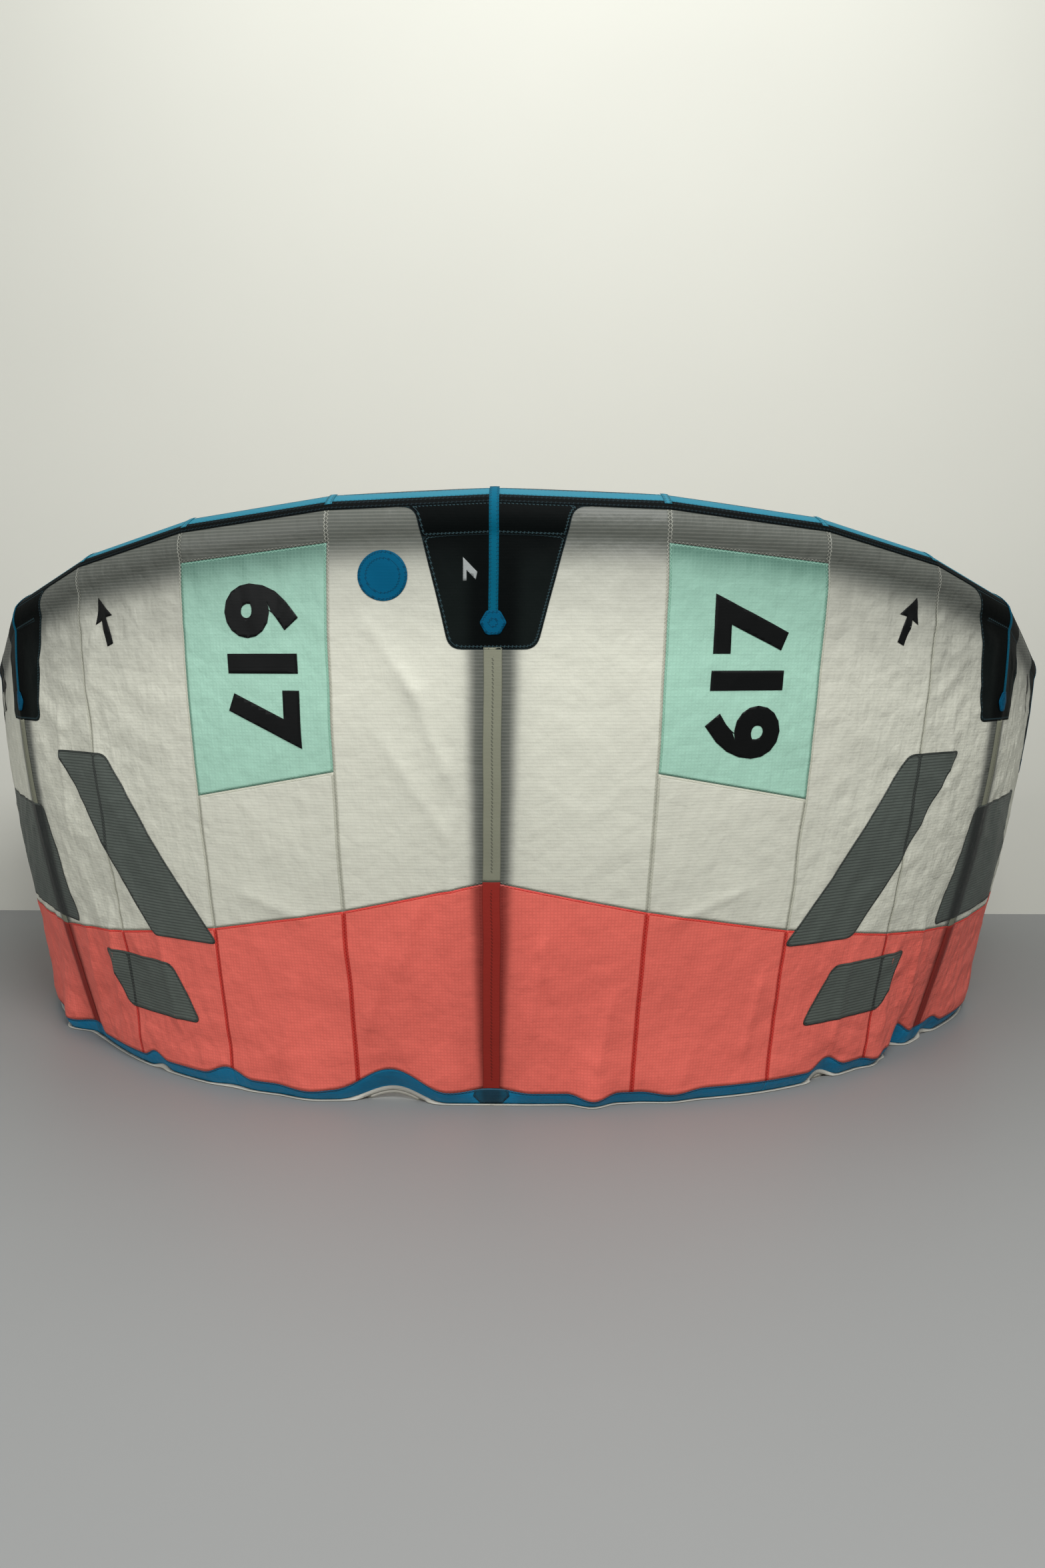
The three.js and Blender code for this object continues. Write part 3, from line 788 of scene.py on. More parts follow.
class Finish(Enum):
    """Every finish of the kite."""

    # White ripstop: a warm grey-white, with painted shade where the tubes lie behind it, and horizontal ribs.
    WHITE = Ripstop(
        "ripstop_polyester_white", "#cfcfc1", "#4e514b", "#8d8e76", rib_depth=0.06, seam_share=0.45
    )
    # Mint ripstop: the pale window that the number stands on.
    MINT = Ripstop("ripstop_polyester_mint", "#a3ccb9", "#466c5e", "#64957d", square=True, rib_depth=0.06)
    # Coral ripstop: a clear square grid, and seams that show a saturated red.
    CORAL = Ripstop(
        "ripstop_polyester_coral", "#e56f61", "#7a241d", "#b8170e",
        square=True, rib_depth=0.14, seam_share=0.95,
    )
    # Grey ripstop: nearly opaque, with heavy ribs and near-black seams.
    GREY = Ripstop(
        "ripstop_polyester_grey", "#515852", "#191d1b", "#101412",
        rib_depth=0.62, clear=0.12, seam_share=0.8,
    )
    # Folded polyester band of the trailing edge: a strong blue, with a dark row of thread at its top.
    BAND = Ripstop(
        "folded_polyester_teal", "#0079a4", "#02405a", "#04263a", rib_depth=0.08, clear=0.15, seam_share=0.9
    )
    # The same cloth doubled under the middle strut: darker and dense, with painted shade of the strut behind
    # it.
    TAIL = Ripstop("folded_polyester_dark_teal", "#04465c", "#032c3c", "#04202c", clear=0.05)
    # Uncoloured polyester hem, thin enough to glow where it lifts.
    HEM = Ripstop("polyester_hem_pale", "#c9c6bb", "#8a8880", "#a3a094", clear=0.4)
    # Black woven polyester of the patches: matt, with a blue cast, and painted shade where the tubes lie
    # behind it.
    BLACK = Dacron("woven_polyester_black", "#0d1211", "#26363a", "#020404", rows=(0.006,), gloss=0.03)
    # The trim below the leading edge's band: blacker still, so that its grey zigzag thread stands out.
    TRIM = Dacron("woven_polyester_trim", "#050707", "#141d20", rows=(0.005,), gloss=0.02)
    # The leading edge's own cloth: black with a low sheen, a little paler where it is stretched.
    TUBE = Dacron("woven_polyester_tube", "#101214", "#2c3134", rows=(), gloss=0.2)
    # The struts' cloth: a dark grey that keeps their round shape readable from behind.
    STRUT = Dacron("woven_polyester_strut", "#3a3d40", "#53575b", rows=())
    # Blue woven tape of the strips: flat and dense, with a fine rib.
    BLUE = Dacron(
        "woven_tape_blue", "#00475c", "#043a4b", weave=2.0, rows=(0.003,), crumple=0.0004, gloss=0.04
    )
    # The same tape along the leading edge, painted paler and greyer for the light that it faces.
    PAINTED_LIT_BLUE = Dacron(
        "woven_tape_blue_painted_light", "#1b5d6e", "#124653",
        weave=2.0, rows=(0.003,), crumple=0.0004, gloss=0.12,
    )
    # Teal coated cloth of the disc and the six-sided pads: smooth, with two rows of thread.
    TEAL = Dacron(
        "coated_polyester_teal", "#00425d", "#033349", rows=(0.0035, 0.016), crumple=0.0005, gloss=0.04
    )
    # Beige insignia tape over the struts, glued and sewn down its middle, its colour darkened by painted
    # shade of the strut under it.
    TAPE = Dacron("insignia_tape_beige", "#6c6d5e", "#505147", rows=(0.019,), crumple=0.0006, gloss=0.1)
    # The same tape behind the coral cloth, which shows it as a deep red, darkened further by painted shade of
    # the strut under it.
    TAPE_RED = Dacron(
        "insignia_tape_over_coral", "#792019", "#5d1812", rows=(0.019,), crumple=0.0006, gloss=0.15
    )
    # Printed ink: dense black, a touch glossier than the cloth under it.
    INK = Dacron(
        "screen_print_black", "#050606", "#050606", rows=(), roughness=0.5, crumple=0.0004, gloss=0.12
    )
    # Pale printed ink: a soft grey on the black patch.
    PALE_INK = Dacron(
        "screen_print_grey", "#7d8180", "#7d8180", rows=(), roughness=0.5, crumple=0.0004, gloss=0.1
    )

    def build(self) -> bpy.types.Material:
        """The material of this finish."""
        return self.value.build()


# ---------------------------------------------------------------- cloth and what is sewn or printed on it


def panel_grid(columns: int, rows: int) -> bmesh.types.BMesh:
    """A flat grid from 0 to 1 both ways.

    Args:
        columns: Its faces across.
        rows: Its faces upwards.

    Returns:
        The grid.
    """
    mesh = bmesh.new()
    bmesh.ops.create_grid(mesh, x_segments=columns, y_segments=rows, size=0.5)
    bmesh.ops.translate(mesh, verts=mesh.verts, vec=(0.5, 0.5, 0))
    return mesh


def flat_points(mesh: bmesh.types.BMesh) -> Array:
    """Where a mesh's corners lie."""
    return np.array([vertex.co[:] for vertex in mesh.verts])


def sliced(mesh: bmesh.types.BMesh, axis: int, marks: Iterable[float]) -> None:
    """Cuts a mesh by planes square to one axis.

    Args:
        mesh: The mesh.
        axis: 0, 1 or 2.
        marks: Where the planes cross that axis.
    """
    normal = Vector((axis == 0, axis == 1, axis == 2))
    for mark in marks:
        parts = [*mesh.verts, *mesh.edges, *mesh.faces]
        bmesh.ops.bisect_plane(mesh, geom=parts, dist=1e-6, plane_co=normal * mark, plane_no=normal)


@dataclass
class Piece:
    """One finished piece of the kite on its way from a flat shape to the scene."""

    name: str
    mesh: bmesh.types.BMesh
    finish: Finish
    slot: str
    thickness: float = 0.5  # in millimetres, and none for a closed solid

    def finished(
        self,
        points: Array,
        cloth: Array,
        fields: dict[str, Array | float],
        nodes: Sequence[str] = (),
        extra: Sequence[Finish] = (),
    ) -> bpy.types.Object:
        """Moves the flat shape's corners into place and hands the piece to the scene.

        Args:
            points: The place of each corner, in metres.
            cloth: Each corner's place on the cloth, in metres, for the weave.
            fields: Named values for the finishes, one for each corner or for all of them.
            nodes: The CAD nodes that the piece stands for.
            extra: Further finishes, for faces whose material index asks for them.

        Returns:
            The piece.
        """
        bm = self.mesh
        uv = bm.loops.layers.uv.new("cloth")
        layers = {name: bm.verts.layers.float.new(name) for name in fields}
        rows = {name: np.broadcast_to(value, len(points)) for name, value in fields.items()}
        for index, vertex in enumerate(bm.verts):
            vertex.co = points[index]
            for name, layer in layers.items():
                vertex[layer] = float(rows[name][index])
        bm.verts.index_update()
        if not self.thickness:
            bm.normal_update()
            bmesh.ops.recalc_face_normals(bm, faces=bm.faces)
        for face in bm.faces:
            face.smooth = True
            for loop in face.loops:
                loop[uv].uv = cloth[loop.vert.index][:2]
        data = bpy.data.meshes.new(self.name)
        bm.to_mesh(data)
        bm.free()
        piece = bpy.data.objects.new(self.name, data)
        bpy.context.scene.collection.objects.link(piece)
        for finish in (self.finish, *extra):
            data.materials.append(finish.build())
        if self.thickness:
            shell = piece.modifiers.new("thickness", "SOLIDIFY")
            shell.thickness, shell.offset = self.thickness * MM, -1
        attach(piece, "root")
        if nodes:
            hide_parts(*nodes)
        log.info("%s: %d faces", self.name, len(data.polygons))
        return piece


@dataclass
class Cutout:
    """A flat shape cut with straight and round edges, laid on the wing at a place and level."""

    wing: Wing
    name: str
    finish: Finish
    slot: str
    place: float
    level: float
    proud: float = 0.8
    thickness: float = 0.4
    turn: float = 0.0

    def lay(self, flat: bmesh.types.BMesh) -> bpy.types.Object:
        """Dices the shape and lays it on the cloth.

        Args:
            flat: The shape, in metres from the point where it is laid.

        Returns:
            The piece.
        """
        bmesh.ops.rotate(flat, verts=flat.verts, cent=(0, 0, 0), matrix=Matrix.Rotation(self.turn, 3, "Z"))
        rims = np.array([[v.co[:2] for v in edge.verts] for edge in flat.edges if edge.is_boundary])
        bmesh.ops.triangulate(flat, faces=flat.faces)
        for axis in (0, 1):
            spots = [vertex.co[axis] for vertex in flat.verts]
            cells = range(math.ceil(min(spots) / CELL), math.floor(max(spots) / CELL) + 1)
            sliced(flat, axis, (CELL * cell for cell in cells))
        bmesh.ops.remove_doubles(flat, verts=flat.verts, dist=1e-5)
        for face in flat.faces:
            if face.normal.z < 0:
                face.normal_flip()
        spots = flat_points(flat)
        level = spots[:, 1] + self.level
        place = self.wing.place_of(self.place, spots[:, 0], level)
        level = self.bent(place, level)
        fields = self.fields(place, level, self._rim(spots[:, :2], rims))
        piece = Piece(self.name, flat, self.finish, self.slot, self.thickness)
        cloth = np.stack([spots[:, 0], level], -1)
        return piece.finished(self.points(place, level), cloth, fields)

    def bent(self, place: Array, level: Array) -> Array:
        """The levels that the piece's corners are moved to, which are their own for a plain piece."""
        return level

    def points(self, place: Array, level: Array) -> Array:
        """Where the piece's corners lie."""
        return self.wing.cloth_at(place, level, self.depth(place, level))

    def fields(self, place: Array, level: Array, rim: Array) -> dict[str, Array | float]:
        """Values for the finishes: the distance to the edge, and the tubes' painted shade."""
        return {"rim": rim, "shade": self.wing.shade(place, level), "side": rim, "end": 1.0}

    def depth(self, place: Array, level: Array) -> Array:
        """How far outside the canopy's outer face each point of the piece lies, in metres."""
        return np.full(level.shape, self.proud * MM)

    @staticmethod
    def _rim(spots: Array, rims: Array) -> Array:
        """Measures to the nearest of a shape's edges.

        Args:
            spots: The points.
            rims: The two ends of each edge.

        Returns:
            The distance from each point, in metres.
        """
        start, along = rims[:, 0], rims[:, 1] - rims[:, 0]
        far = spots[:, None] - start
        share = np.clip((far * along).sum(-1) / np.maximum((along**2).sum(-1), 1e-12), 0, 1)
        return np.linalg.norm(far - along * share[..., None], axis=-1).min(1)


def filled(outline: Sequence[Point]) -> bmesh.types.BMesh:
    """A flat shape inside an outline.

    Args:
        outline: Its corners, in millimetres, no two of them alike.

    Returns:
        The shape, in metres.
    """
    mesh = bmesh.new()
    corners = [mesh.verts.new((x, y, 0)) for x, y in outline]
    edges = [mesh.edges.new((corners[i - 1], corner)) for i, corner in enumerate(corners)]
    bmesh.ops.triangle_fill(mesh, use_beauty=True, edges=edges)
    bmesh.ops.scale(mesh, verts=mesh.verts, vec=(MM, MM, MM))
    return mesh


def softened(outline: Sequence[Point], radii: Sequence[float] | float, steps: int = 6) -> list[Point]:
    """Rounds an outline's corners.

    Args:
        outline: The sharp corners, in millimetres.
        radii: The length cut off the edges at each corner, or at all of them.
        steps: Points on each round corner.

    Returns:
        The corners of the rounded outline.
    """
    count = len(outline)
    cuts = [radii] * count if isinstance(radii, (int, float)) else radii
    points = []
    for index, corner in enumerate(outline):
        here = Vector(corner)
        before, after = Vector(outline[index - 1]), Vector(outline[(index + 1) % count])
        if not cuts[index]:
            points.append(tuple(here))
            continue
        start = here + (before - here).normalized() * cuts[index]
        finish = here + (after - here).normalized() * cuts[index]
        for step in range(steps + 1):
            t = step / steps
            points.append(tuple(start * (1 - t) ** 2 + here * 2 * t * (1 - t) + finish * t**2))
    return points


def oblong(half: float, low: float, high: float) -> list[Point]:
    """An upright rectangle's outline, in millimetres."""
    return [(-half, low), (half, low), (half, high), (-half, high)]


def disc(radius: float, corners: int = 48) -> list[Point]:
    """A round or many-sided outline, in millimetres."""
    turns = [2 * math.pi * i / corners for i in range(corners)]
    return [(radius * math.cos(a), radius * math.sin(a)) for a in turns]


def lettering(text: str, length: float, height: float, bold: float = 0.035) -> bmesh.types.BMesh:
    """Flat plain numerals, centred.

    Args:
        text: What they say.
        length: Of the whole text, in millimetres.
        height: Of the numerals, in millimetres.
        bold: How far their strokes are thickened.

    Returns:
        The flat shape, in metres.
    """
    curve = bpy.data.curves.new("numerals", "FONT")
    curve.body, curve.offset, curve.resolution_u = text, bold, 4
    holder = bpy.data.objects.new("numerals", curve)
    bpy.context.scene.collection.objects.link(holder)
    bpy.context.view_layer.update()
    data = bpy.data.meshes.new_from_object(holder)
    flat = bmesh.new()
    flat.from_mesh(data)
    bpy.data.objects.remove(holder)
    bpy.data.curves.remove(curve)
    bpy.data.meshes.remove(data)
    bmesh.ops.remove_doubles(flat, verts=flat.verts, dist=1e-4)
    spots = flat_points(flat)
    low, high = spots.min(0), spots.max(0)
    scale = (length * MM / (high[0] - low[0]), height * MM / (high[1] - low[1]), 1)
    bmesh.ops.translate(flat, verts=flat.verts, vec=(-(low[0] + high[0]) / 2, -(low[1] + high[1]) / 2, 0))
    bmesh.ops.scale(flat, verts=flat.verts, vec=scale)
    return flat


# ---------------------------------------------------------------- the canopy


Level = Callable[[Column], Array]


@dataclass
class Canopy:
    """The sewn panels between the trailing-edge band and the leading edge."""

    wing: Wing
    gores: Sequence[Point] = ((0, 1), (1, 2), (2, 3), (3, 4), (4, 6), (6, 8))
    mint_gore: int = 2
    seam_top: float = 30
    ease: float = 1.08  # the cloth is this much longer than the trailing edge under it

    def build(self) -> None:
        """Builds every panel of both half wings."""
        for side, sign in SIDES.items():
            for number, (start, stop) in enumerate(self.gores, 1):
                ends = (start, stop) if sign > 0 else (-stop, -start)
                self._gore(f"{side}_{number}", ends, number == self.mint_gore)

    def _gore(self, name: str, ends: Point, has_mint: bool) -> None:
        """Builds the panels of one gore, from the band up.

        Args:
            name: The side and number that end their names.
            ends: The places of its two side seams.
            has_mint: Whether it holds a mint window.
        """
        band, seam = (lambda c: c.top), (lambda c: c.seam)
        top = lambda c: self.wing.level_round(c, self.seam_top)  # noqa: E731
        low, high = self._mint(self.wing.mint_low), self._mint(self.wing.mint_high)
        white, coral, mint = "canopy_white", "canopy_coral", "canopy_mint"
        self._panel(f"lower_panel_{name}", ends, band, seam, Finish.CORAL, coral)
        if not has_mint:
            self._panel(f"upper_panel_{name}", ends, seam, top, Finish.WHITE, white)
            return
        self._panel(f"upper_panel_{name}", ends, seam, low, Finish.WHITE, white)
        self._panel(f"mint_panel_{name}", ends, low, high, Finish.MINT, mint)
        self._panel(f"header_panel_{name}", ends, high, top, Finish.WHITE, white)

    def _mint(self, seam: Point) -> Level:
        """One seam of the mint window, from its height nearest to the middle and its fall in a bay."""
        bay = self.wing.run[self.wing.last + 1]
        return lambda c: (seam[0] - seam[1] * (np.abs(c.run) / bay - 1)) * MM

    def _panel(self, node_name: str, ends: Point, low: Level, high: Level, finish: Finish, slot: str) -> None:
        """Builds one panel between two seams.

        Args:
            node_name: The CAD node that it stands for.
            ends: The places of its two side seams.
            low: Its lower edge's level in each column.
            high: Its upper edge's.
            finish: Its cloth.
            slot: Its material slot, passed on to the piece, which does not use it.
        """
        wing = self.wing
        probe = wing.column(np.linspace(*ends, 9))
        heights = high(probe) - low(probe)
        width, tall = float(np.ptp(probe.run)), float(heights.max())
        mesh = panel_grid(math.ceil(self.ease * width / CELL), max(2, math.ceil(tall / CELL)))
        spots = flat_points(mesh)
        place = np.interp(spots[:, 0], (0, 1), ends)
        column = wing.column(place)
        bottom, top = low(column), high(column)
        level = bottom + (top - bottom) * spots[:, 1]
        fields = {
            "shade": wing.shade(place, level),
            "side": width * np.minimum(spots[:, 0], 1 - spots[:, 0]),
            "end": np.minimum(
                np.where(bottom > column.top, level - bottom, 1.0),
                np.where(top > wing.join_level(column), 1.0, top - level),
            ),
        }
        piece = Piece(f"cloth_{node_name}", mesh, finish, slot)
        cloth = np.stack([column.run, level], -1)
        made = piece.finished(wing.cloth_at(place, level), cloth, fields, (node_name,))
        head = wing.apart(ends, float(high(probe).max()))
        wide = max(width, head)


# ---------------------------------------------------------------- the trailing edge


@dataclass
class TrailingBand:
    """The folded band along the trailing edge, with the loose hem under it."""

    wing: Wing
    spans: Sequence[Point] = ((0, 2), (2, 4), (4, 6), (6, 8))
    hem_rows: int = 3
    band_rows: int = 7
    turning: float = 11

    def build(self) -> None:
        """Builds the band's lengths on both half wings."""
        for side, sign in SIDES.items():
            for number, (start, stop) in enumerate(self.spans, 1):
                ends = (start, stop) if sign > 0 else (-stop, -start)
                self._length(f"edge_band_{side}_{number}", ends)
            self._turning(f"hem_turning_{side}", (0, 8) if sign > 0 else (-8, 0))

    def _turning(self, name: str, ends: Point) -> None:
        """Builds the pale strip that is turned out in front of the band's fold.

        Args:
            name: Its name.
            ends: The places where it starts and ends.
        """
        wing = self.wing
        mesh = panel_grid(300, 2)
        spots = flat_points(mesh)
        column = wing.column(np.interp(spots[:, 0], (0, 1), ends))
        hang = np.minimum(column.lift, self.turning * MM)
        reach = np.sqrt((self.turning * MM) ** 2 - hang**2)
        out = column.push + (1.6 + 0.5 * spots[:, 1]) * MM + reach * spots[:, 1]
        points = column.edge + column.edge_out * out[:, None]
        points[:, 2] = column.lift + 1.1 * MM - hang * spots[:, 1]
        piece = Piece(name, mesh, Finish.HEM, "canopy_white", 0.4)
        cloth = np.stack([column.run, spots[:, 1] * 0.02], -1)
        piece.finished(points + wing.origin, cloth, {"shade": 0.0, "side": 1.0, "end": 1.0})

    def _length(self, node_name: str, ends: Point) -> None:
        """Builds one length of the band.

        Args:
            node_name: The CAD node that it stands for.
            ends: The places where it starts and ends.
        """
        wing = self.wing
        width = float(np.ptp(wing.column(np.array(ends, float)).run))
        rows = self.hem_rows + self.band_rows
        mesh = panel_grid(math.ceil(width / 0.008), rows)
        spots = flat_points(mesh)
        share = np.interp(np.round(spots[:, 1] * rows), (0, self.hem_rows, rows), (0, 1, 2))
        place = np.interp(spots[:, 0], (0, 1), ends)
        column = wing.column(place)
        for face in mesh.faces:
            face.material_index = int(face.calc_center_median().y * rows < self.hem_rows)
        high = np.maximum(share - 1, 0) * column.top
        away = np.where(share > 1, np.minimum((2 - share) * column.top, high + 0.0028), 1.0)
        # painted shade of the struts behind the band, at half strength
        fields = {"shade": wing.shade(place, 0.02 + 0 * place) * 0.5, "side": 1.0, "end": away}
        piece = Piece(f"cloth_{node_name}", mesh, Finish.BAND, "trim_blue")
        cloth = np.stack([column.run, high], -1)
        made = piece.finished(wing.band_at(place, share), cloth, fields, (node_name,), (Finish.HEM,))


# ---------------------------------------------------------------- inflated tubes


@dataclass
class LeadingEdge:
    """The inflated tube along the top, in straight lengths mitred at the seams, with its tapes."""

    wing: Wing
    around: int = 48
    rings: int = 6
    trim: Point = (26, 44)
    band: Point = (43, 68)
    tab: Point = (38, 72)
    tab_width: float = 14
    tip: float = 0.06  # the part of the last bay over which the tube's end rounds off
    spans: Sequence[Point] = ((0, 1), (1, 2), (2, 3), (3, 4), (4, 6), (6, 7), (7, 8))

    def build(self) -> None:
        """Builds the tube and all that is sewn along it."""
        self._tube()
        for side, ends in (("left", (-8.0, 0.0)), ("right", (0.0, 8.0))):
            self._strip(f"leading_edge_trim_{side}", ends, self.trim, 1.9, Finish.TRIM, "tube_black", 1.0)
            self._strip(f"leading_edge_band_{side}", ends, self.band, 1.2, Finish.PAINTED_LIT_BLUE, "trim_blue", 1.2)
        self._tabs()

    def _tube(self) -> None:
        """Builds the tube with closed round ends and a shallow waist at each mitre."""
        wing = self.wing
        mesh = bmesh.new()
        long = 2 * wing.last
        bmesh.ops.create_cone(mesh, cap_ends=True, segments=self.around, radius1=1, radius2=1, depth=long)
        sliced(mesh, 2, self._marks()[1:-1])
        across, up, place = flat_points(mesh).T
        angle = np.arctan2(up, across)
        column = wing.column(place)
        joints = np.array([sign * stop for _, stop in self.spans for sign in (-1, 1)] + [0])
        near = np.min([np.abs(column.run - wing.run[joint + wing.last]) for joint in joints], 0)
        waist = 1.2 * MM * np.exp(-((near / 0.006) ** 2)) + 1.4 * MM * np.exp(-near / 0.05)
        tip = np.clip((np.abs(place) - wing.last) / self.tip + 1, 0, 1)
        clear = (column.radius - waist) * np.sqrt(np.maximum(1 - tip**2, 0.02)) - column.radius
        points = wing.round_at(place, angle, clear - 0.2 * MM)
        piece = Piece("leading_edge", mesh, Finish.TUBE, "tube_black", 0)
        nodes = [f"leading_edge_{side}_{i}" for side in SIDES for i in range(1, len(self.spans) + 1)]
        piece.finished(points, np.stack([column.run, angle * column.radius], -1), {"rim": near}, nodes)

    def _marks(self) -> list[float]:
        """Spaces the tube's rings, closer together beside each mitre and towards the tips.

        Returns:
            Their places, in order.
        """
        marks: set[float] = set()
        for start, stop in self.spans:
            shares = [0, 0.02, 0.05, *np.linspace(0.12, 0.88, self.rings), 0.95, 0.98, 1]
            marks.update(round(start + (stop - start) * s, 4) for s in shares)
        last = self.wing.last
        marks.update(round(last - self.tip * s, 4) for s in (0.75, 0.5, 0.3, 0.15, 0.05))
        return sorted({sign * mark for mark in marks for sign in (-1, 1)})

    def _strip(
        self, name: str, ends: Point, degrees: Point, clear: float, finish: Finish, slot: str, rise: float
    ) -> None:
        """Builds a tape that runs along the tube.

        Args:
            name: Its name.
            ends: The places where it starts and ends.
            degrees: The angles round the tube of its two edges.
            clear: How far outside the tube it lies, in millimetres.
            finish: Its material.
            slot: Its material slot, passed on to the piece, which does not use it.
            rise: How much less it stands out at its upper edge, in millimetres.
        """
        wing = self.wing
        mesh = panel_grid(320, 4)
        spots = flat_points(mesh)
        place = np.interp(spots[:, 0], (0, 1), ends)
        column = wing.column(place)
        turn = np.interp(spots[:, 1], (0, 1), degrees)
        far = (clear + 0.4 - rise * smooth((turn - 31) / 6) + wing.gap) * MM
        rim = np.radians(np.minimum(turn - degrees[0], degrees[1] - turn)) * column.radius
        points = wing.round_at(place, np.radians(turn), far)
        cloth = np.stack([column.run, np.radians(turn) * column.radius], -1)
        Piece(name, mesh, finish, slot, 0.4).finished(points, cloth, {"rim": rim})

    def _tabs(self) -> None:
        """Builds the short blue tabs that hold the tapes together at each seam."""
        wing = self.wing
        width = self.tab_width * MM
        for side, sign in SIDES.items():
            for number, (_, stop) in enumerate(self.spans[:-1], 1):
                middle = sign * stop
                mesh = panel_grid(4, 14)
                spots = flat_points(mesh)
                length = abs(float((wing.at(middle).run - wing.at(middle - sign * 0.1).run)[0])) / 0.1
                place = middle + (spots[:, 0] - 0.5) * width / length
                column = wing.column(place)
                turn = np.interp(spots[:, 1], (0, 1), self.tab)
                points = wing.round_at(place, np.radians(turn), (2.2 - 0.4 * smooth((turn - 42) / 4)) * MM)
                rim = np.minimum(width * np.minimum(spots[:, 0], 1 - spots[:, 0]), 0.01)
                cloth = np.stack([column.run, np.radians(turn) * column.radius], -1)
                piece = Piece(f"leading_edge_tab_{side}_{number}", mesh, Finish.PAINTED_LIT_BLUE, "trim_blue", 0.4)
                piece.finished(points, cloth, {"rim": rim})


@dataclass
class Struts:
    """The inflated struts behind the canopy, each cut to the saddle of the leading edge."""

    wing: Wing
    front: float = 45
    tail: float = 28
    floor_gap: float = 9
    clear: float = 1.2
    around: int = 40
    rings: int = 60
    nose: float = 24

    def build(self) -> None:
        """Builds every strut."""
        for name, place in STRUTS.items():
            self._strut(f"strut_{name}", place)

    def _strut(self, node_name: str, place: int) -> None:
        """Builds one strut: round, tapered, closed at its tail and closed at its head in the shape of the
        tube's saddle.

        Args:
            node_name: The CAD node that it stands for.
            place: Its place.
        """
        wing = self.wing
        mesh = bmesh.new()
        bmesh.ops.create_cone(mesh, cap_ends=True, segments=self.around, radius1=1, radius2=1, depth=1)
        bmesh.ops.translate(mesh, verts=mesh.verts, vec=(0, 0, 0.5))
        sliced(mesh, 2, [0.003, 0.008, 0.015, 0.025, 0.04, *np.linspace(0.06, 0.985, self.rings)])
        across, back, height = flat_points(mesh).T
        turn = np.arctan2(back, across)
        column = wing.column(np.full(len(turn), float(place)))
        join = wing.join_level(column)
        reach, foot = column.radius + wing.gap * MM, self.floor_gap * MM
        out = np.cos(wing.join) * reach + (self.front * (np.sin(turn) - 1) - self.clear) * MM
        saddle = wing.tube[place + wing.last][2] - np.sqrt(np.maximum(reach**2 - out**2, 1e-6))
        level = foot + (saddle - foot) * height
        share = np.minimum(level / join, 1)
        held = (self.tail + (self.front - self.tail) * np.sqrt(share)) * MM
        nose = np.clip(1 - (level - foot) / (self.nose * MM), 0, 1)
        puff = 1 + 0.006 * np.sin(2 * np.pi * level / 0.31)
        radius = held * puff * np.sqrt(np.maximum(1 - nose**2, 0.06))
        middle = wing.bare(column, np.minimum(level, join - 1e-4), -(self.clear * MM + held))
        middle[:, 2] = level
        facing = unit(column.edge_out + (column.tube_out - column.edge_out) * share[:, None])
        points = middle + facing * (radius * np.sin(turn))[:, None]
        points += beside(facing) * (radius * np.cos(turn))[:, None] + wing.origin
        piece = Piece(f"cloth_{node_name}", mesh, Finish.STRUT, "strut_black", 0)
        piece.finished(points, np.stack([turn * held, level], -1), {"rim": 1.0}, (node_name,))


# ---------------------------------------------------------------- patches, tapes and prints


@dataclass(frozen=True)
class PatchSize:
    """A patch over a strut's head, in millimetres."""

    top_half: float
    waist_half: float
    fillet: float
    foot_half: float
    foot: float
    corner: float
    strip_half: float
    pad: float
    pad_level: float


class StrapCut(Cutout):
    """A strip or pad that lies over a patch and over the tapes of the leading edge."""

    def depth(self, place: Array, level: Array) -> Array:
        """Rises over the black trim, and sinks towards the tube above it.

        Args:
            place: Places of the points.
            level: Their levels, in metres.

        Returns:
            How far out of the canopy's face each lies, in metres.
        """
        column = self.wing.column(place)
        degrees = np.degrees(self.wing.join + (level - self.wing.join_level(column)) / column.radius)
        rise = 0.9 * smooth((degrees - 20) / 8) - 1.3 * smooth((degrees - 31) / 8)
        return (self.proud + rise) * MM


class PatchCut(Cutout):
    """A patch, double above a row of thread and half clear below it, whose head follows the leading edge."""

    def bent(self, place: Array, level: Array) -> Array:
        """Slants the patch's head with the leading edge.

        Args:
            place: Places of the points.
            level: Their levels, in metres.

        Returns:
            The levels that they move to.
        """
        middle = float(self.wing.join_level(self.wing.at(self.place))[0])
        fall = self.wing.join_level(self.wing.column(place)) - middle
        return level + fall * smooth((level - middle + 0.16) / 0.2)

    def fields(self, place: Array, level: Array, rim: Array) -> dict[str, Array | float]:
        """Darkens the double part, which lies over the tube, with painted shade, adds the tubes' painted
        shade elsewhere, and adds the row of thread along its edge.

        Args:
            place: Places of the points.
            level: Their levels, in metres.
            rim: Their distances to the patch's edge.

        Returns:
            The values for the finish.
        """
        above = level - self.wing.join_level(self.wing.column(place)) + 0.004
        shade = np.maximum(self.wing.shade(place, level), smooth(above / 0.006))
        rim = np.where(above > 0, np.minimum(rim, above), rim)
        return {"rim": rim, "shade": shade}


class LetIn(Cutout):
    """A block let into the canopy, crossed by the gores' seams."""

    def fields(self, place: Array, level: Array, rim: Array) -> dict[str, Array | float]:
        """Adds the nearest gore seam to the block's own edge.

        Args:
            place: Places of the points.
            level: Their levels, in metres.
            rim: Their distances to the block's edge.

        Returns:
            The values for the finish.
        """
        column = self.wing.column(place)
        seams = np.array([side * number for side in (-1, 1) for number in (1, 2, 3)])
        way = np.abs(column.run[:, None] - self.wing.run[seams + self.wing.last]).min(1)
        return {"side": np.minimum(rim, way), "end": 1.0, "shade": self.wing.shade(place, level)}


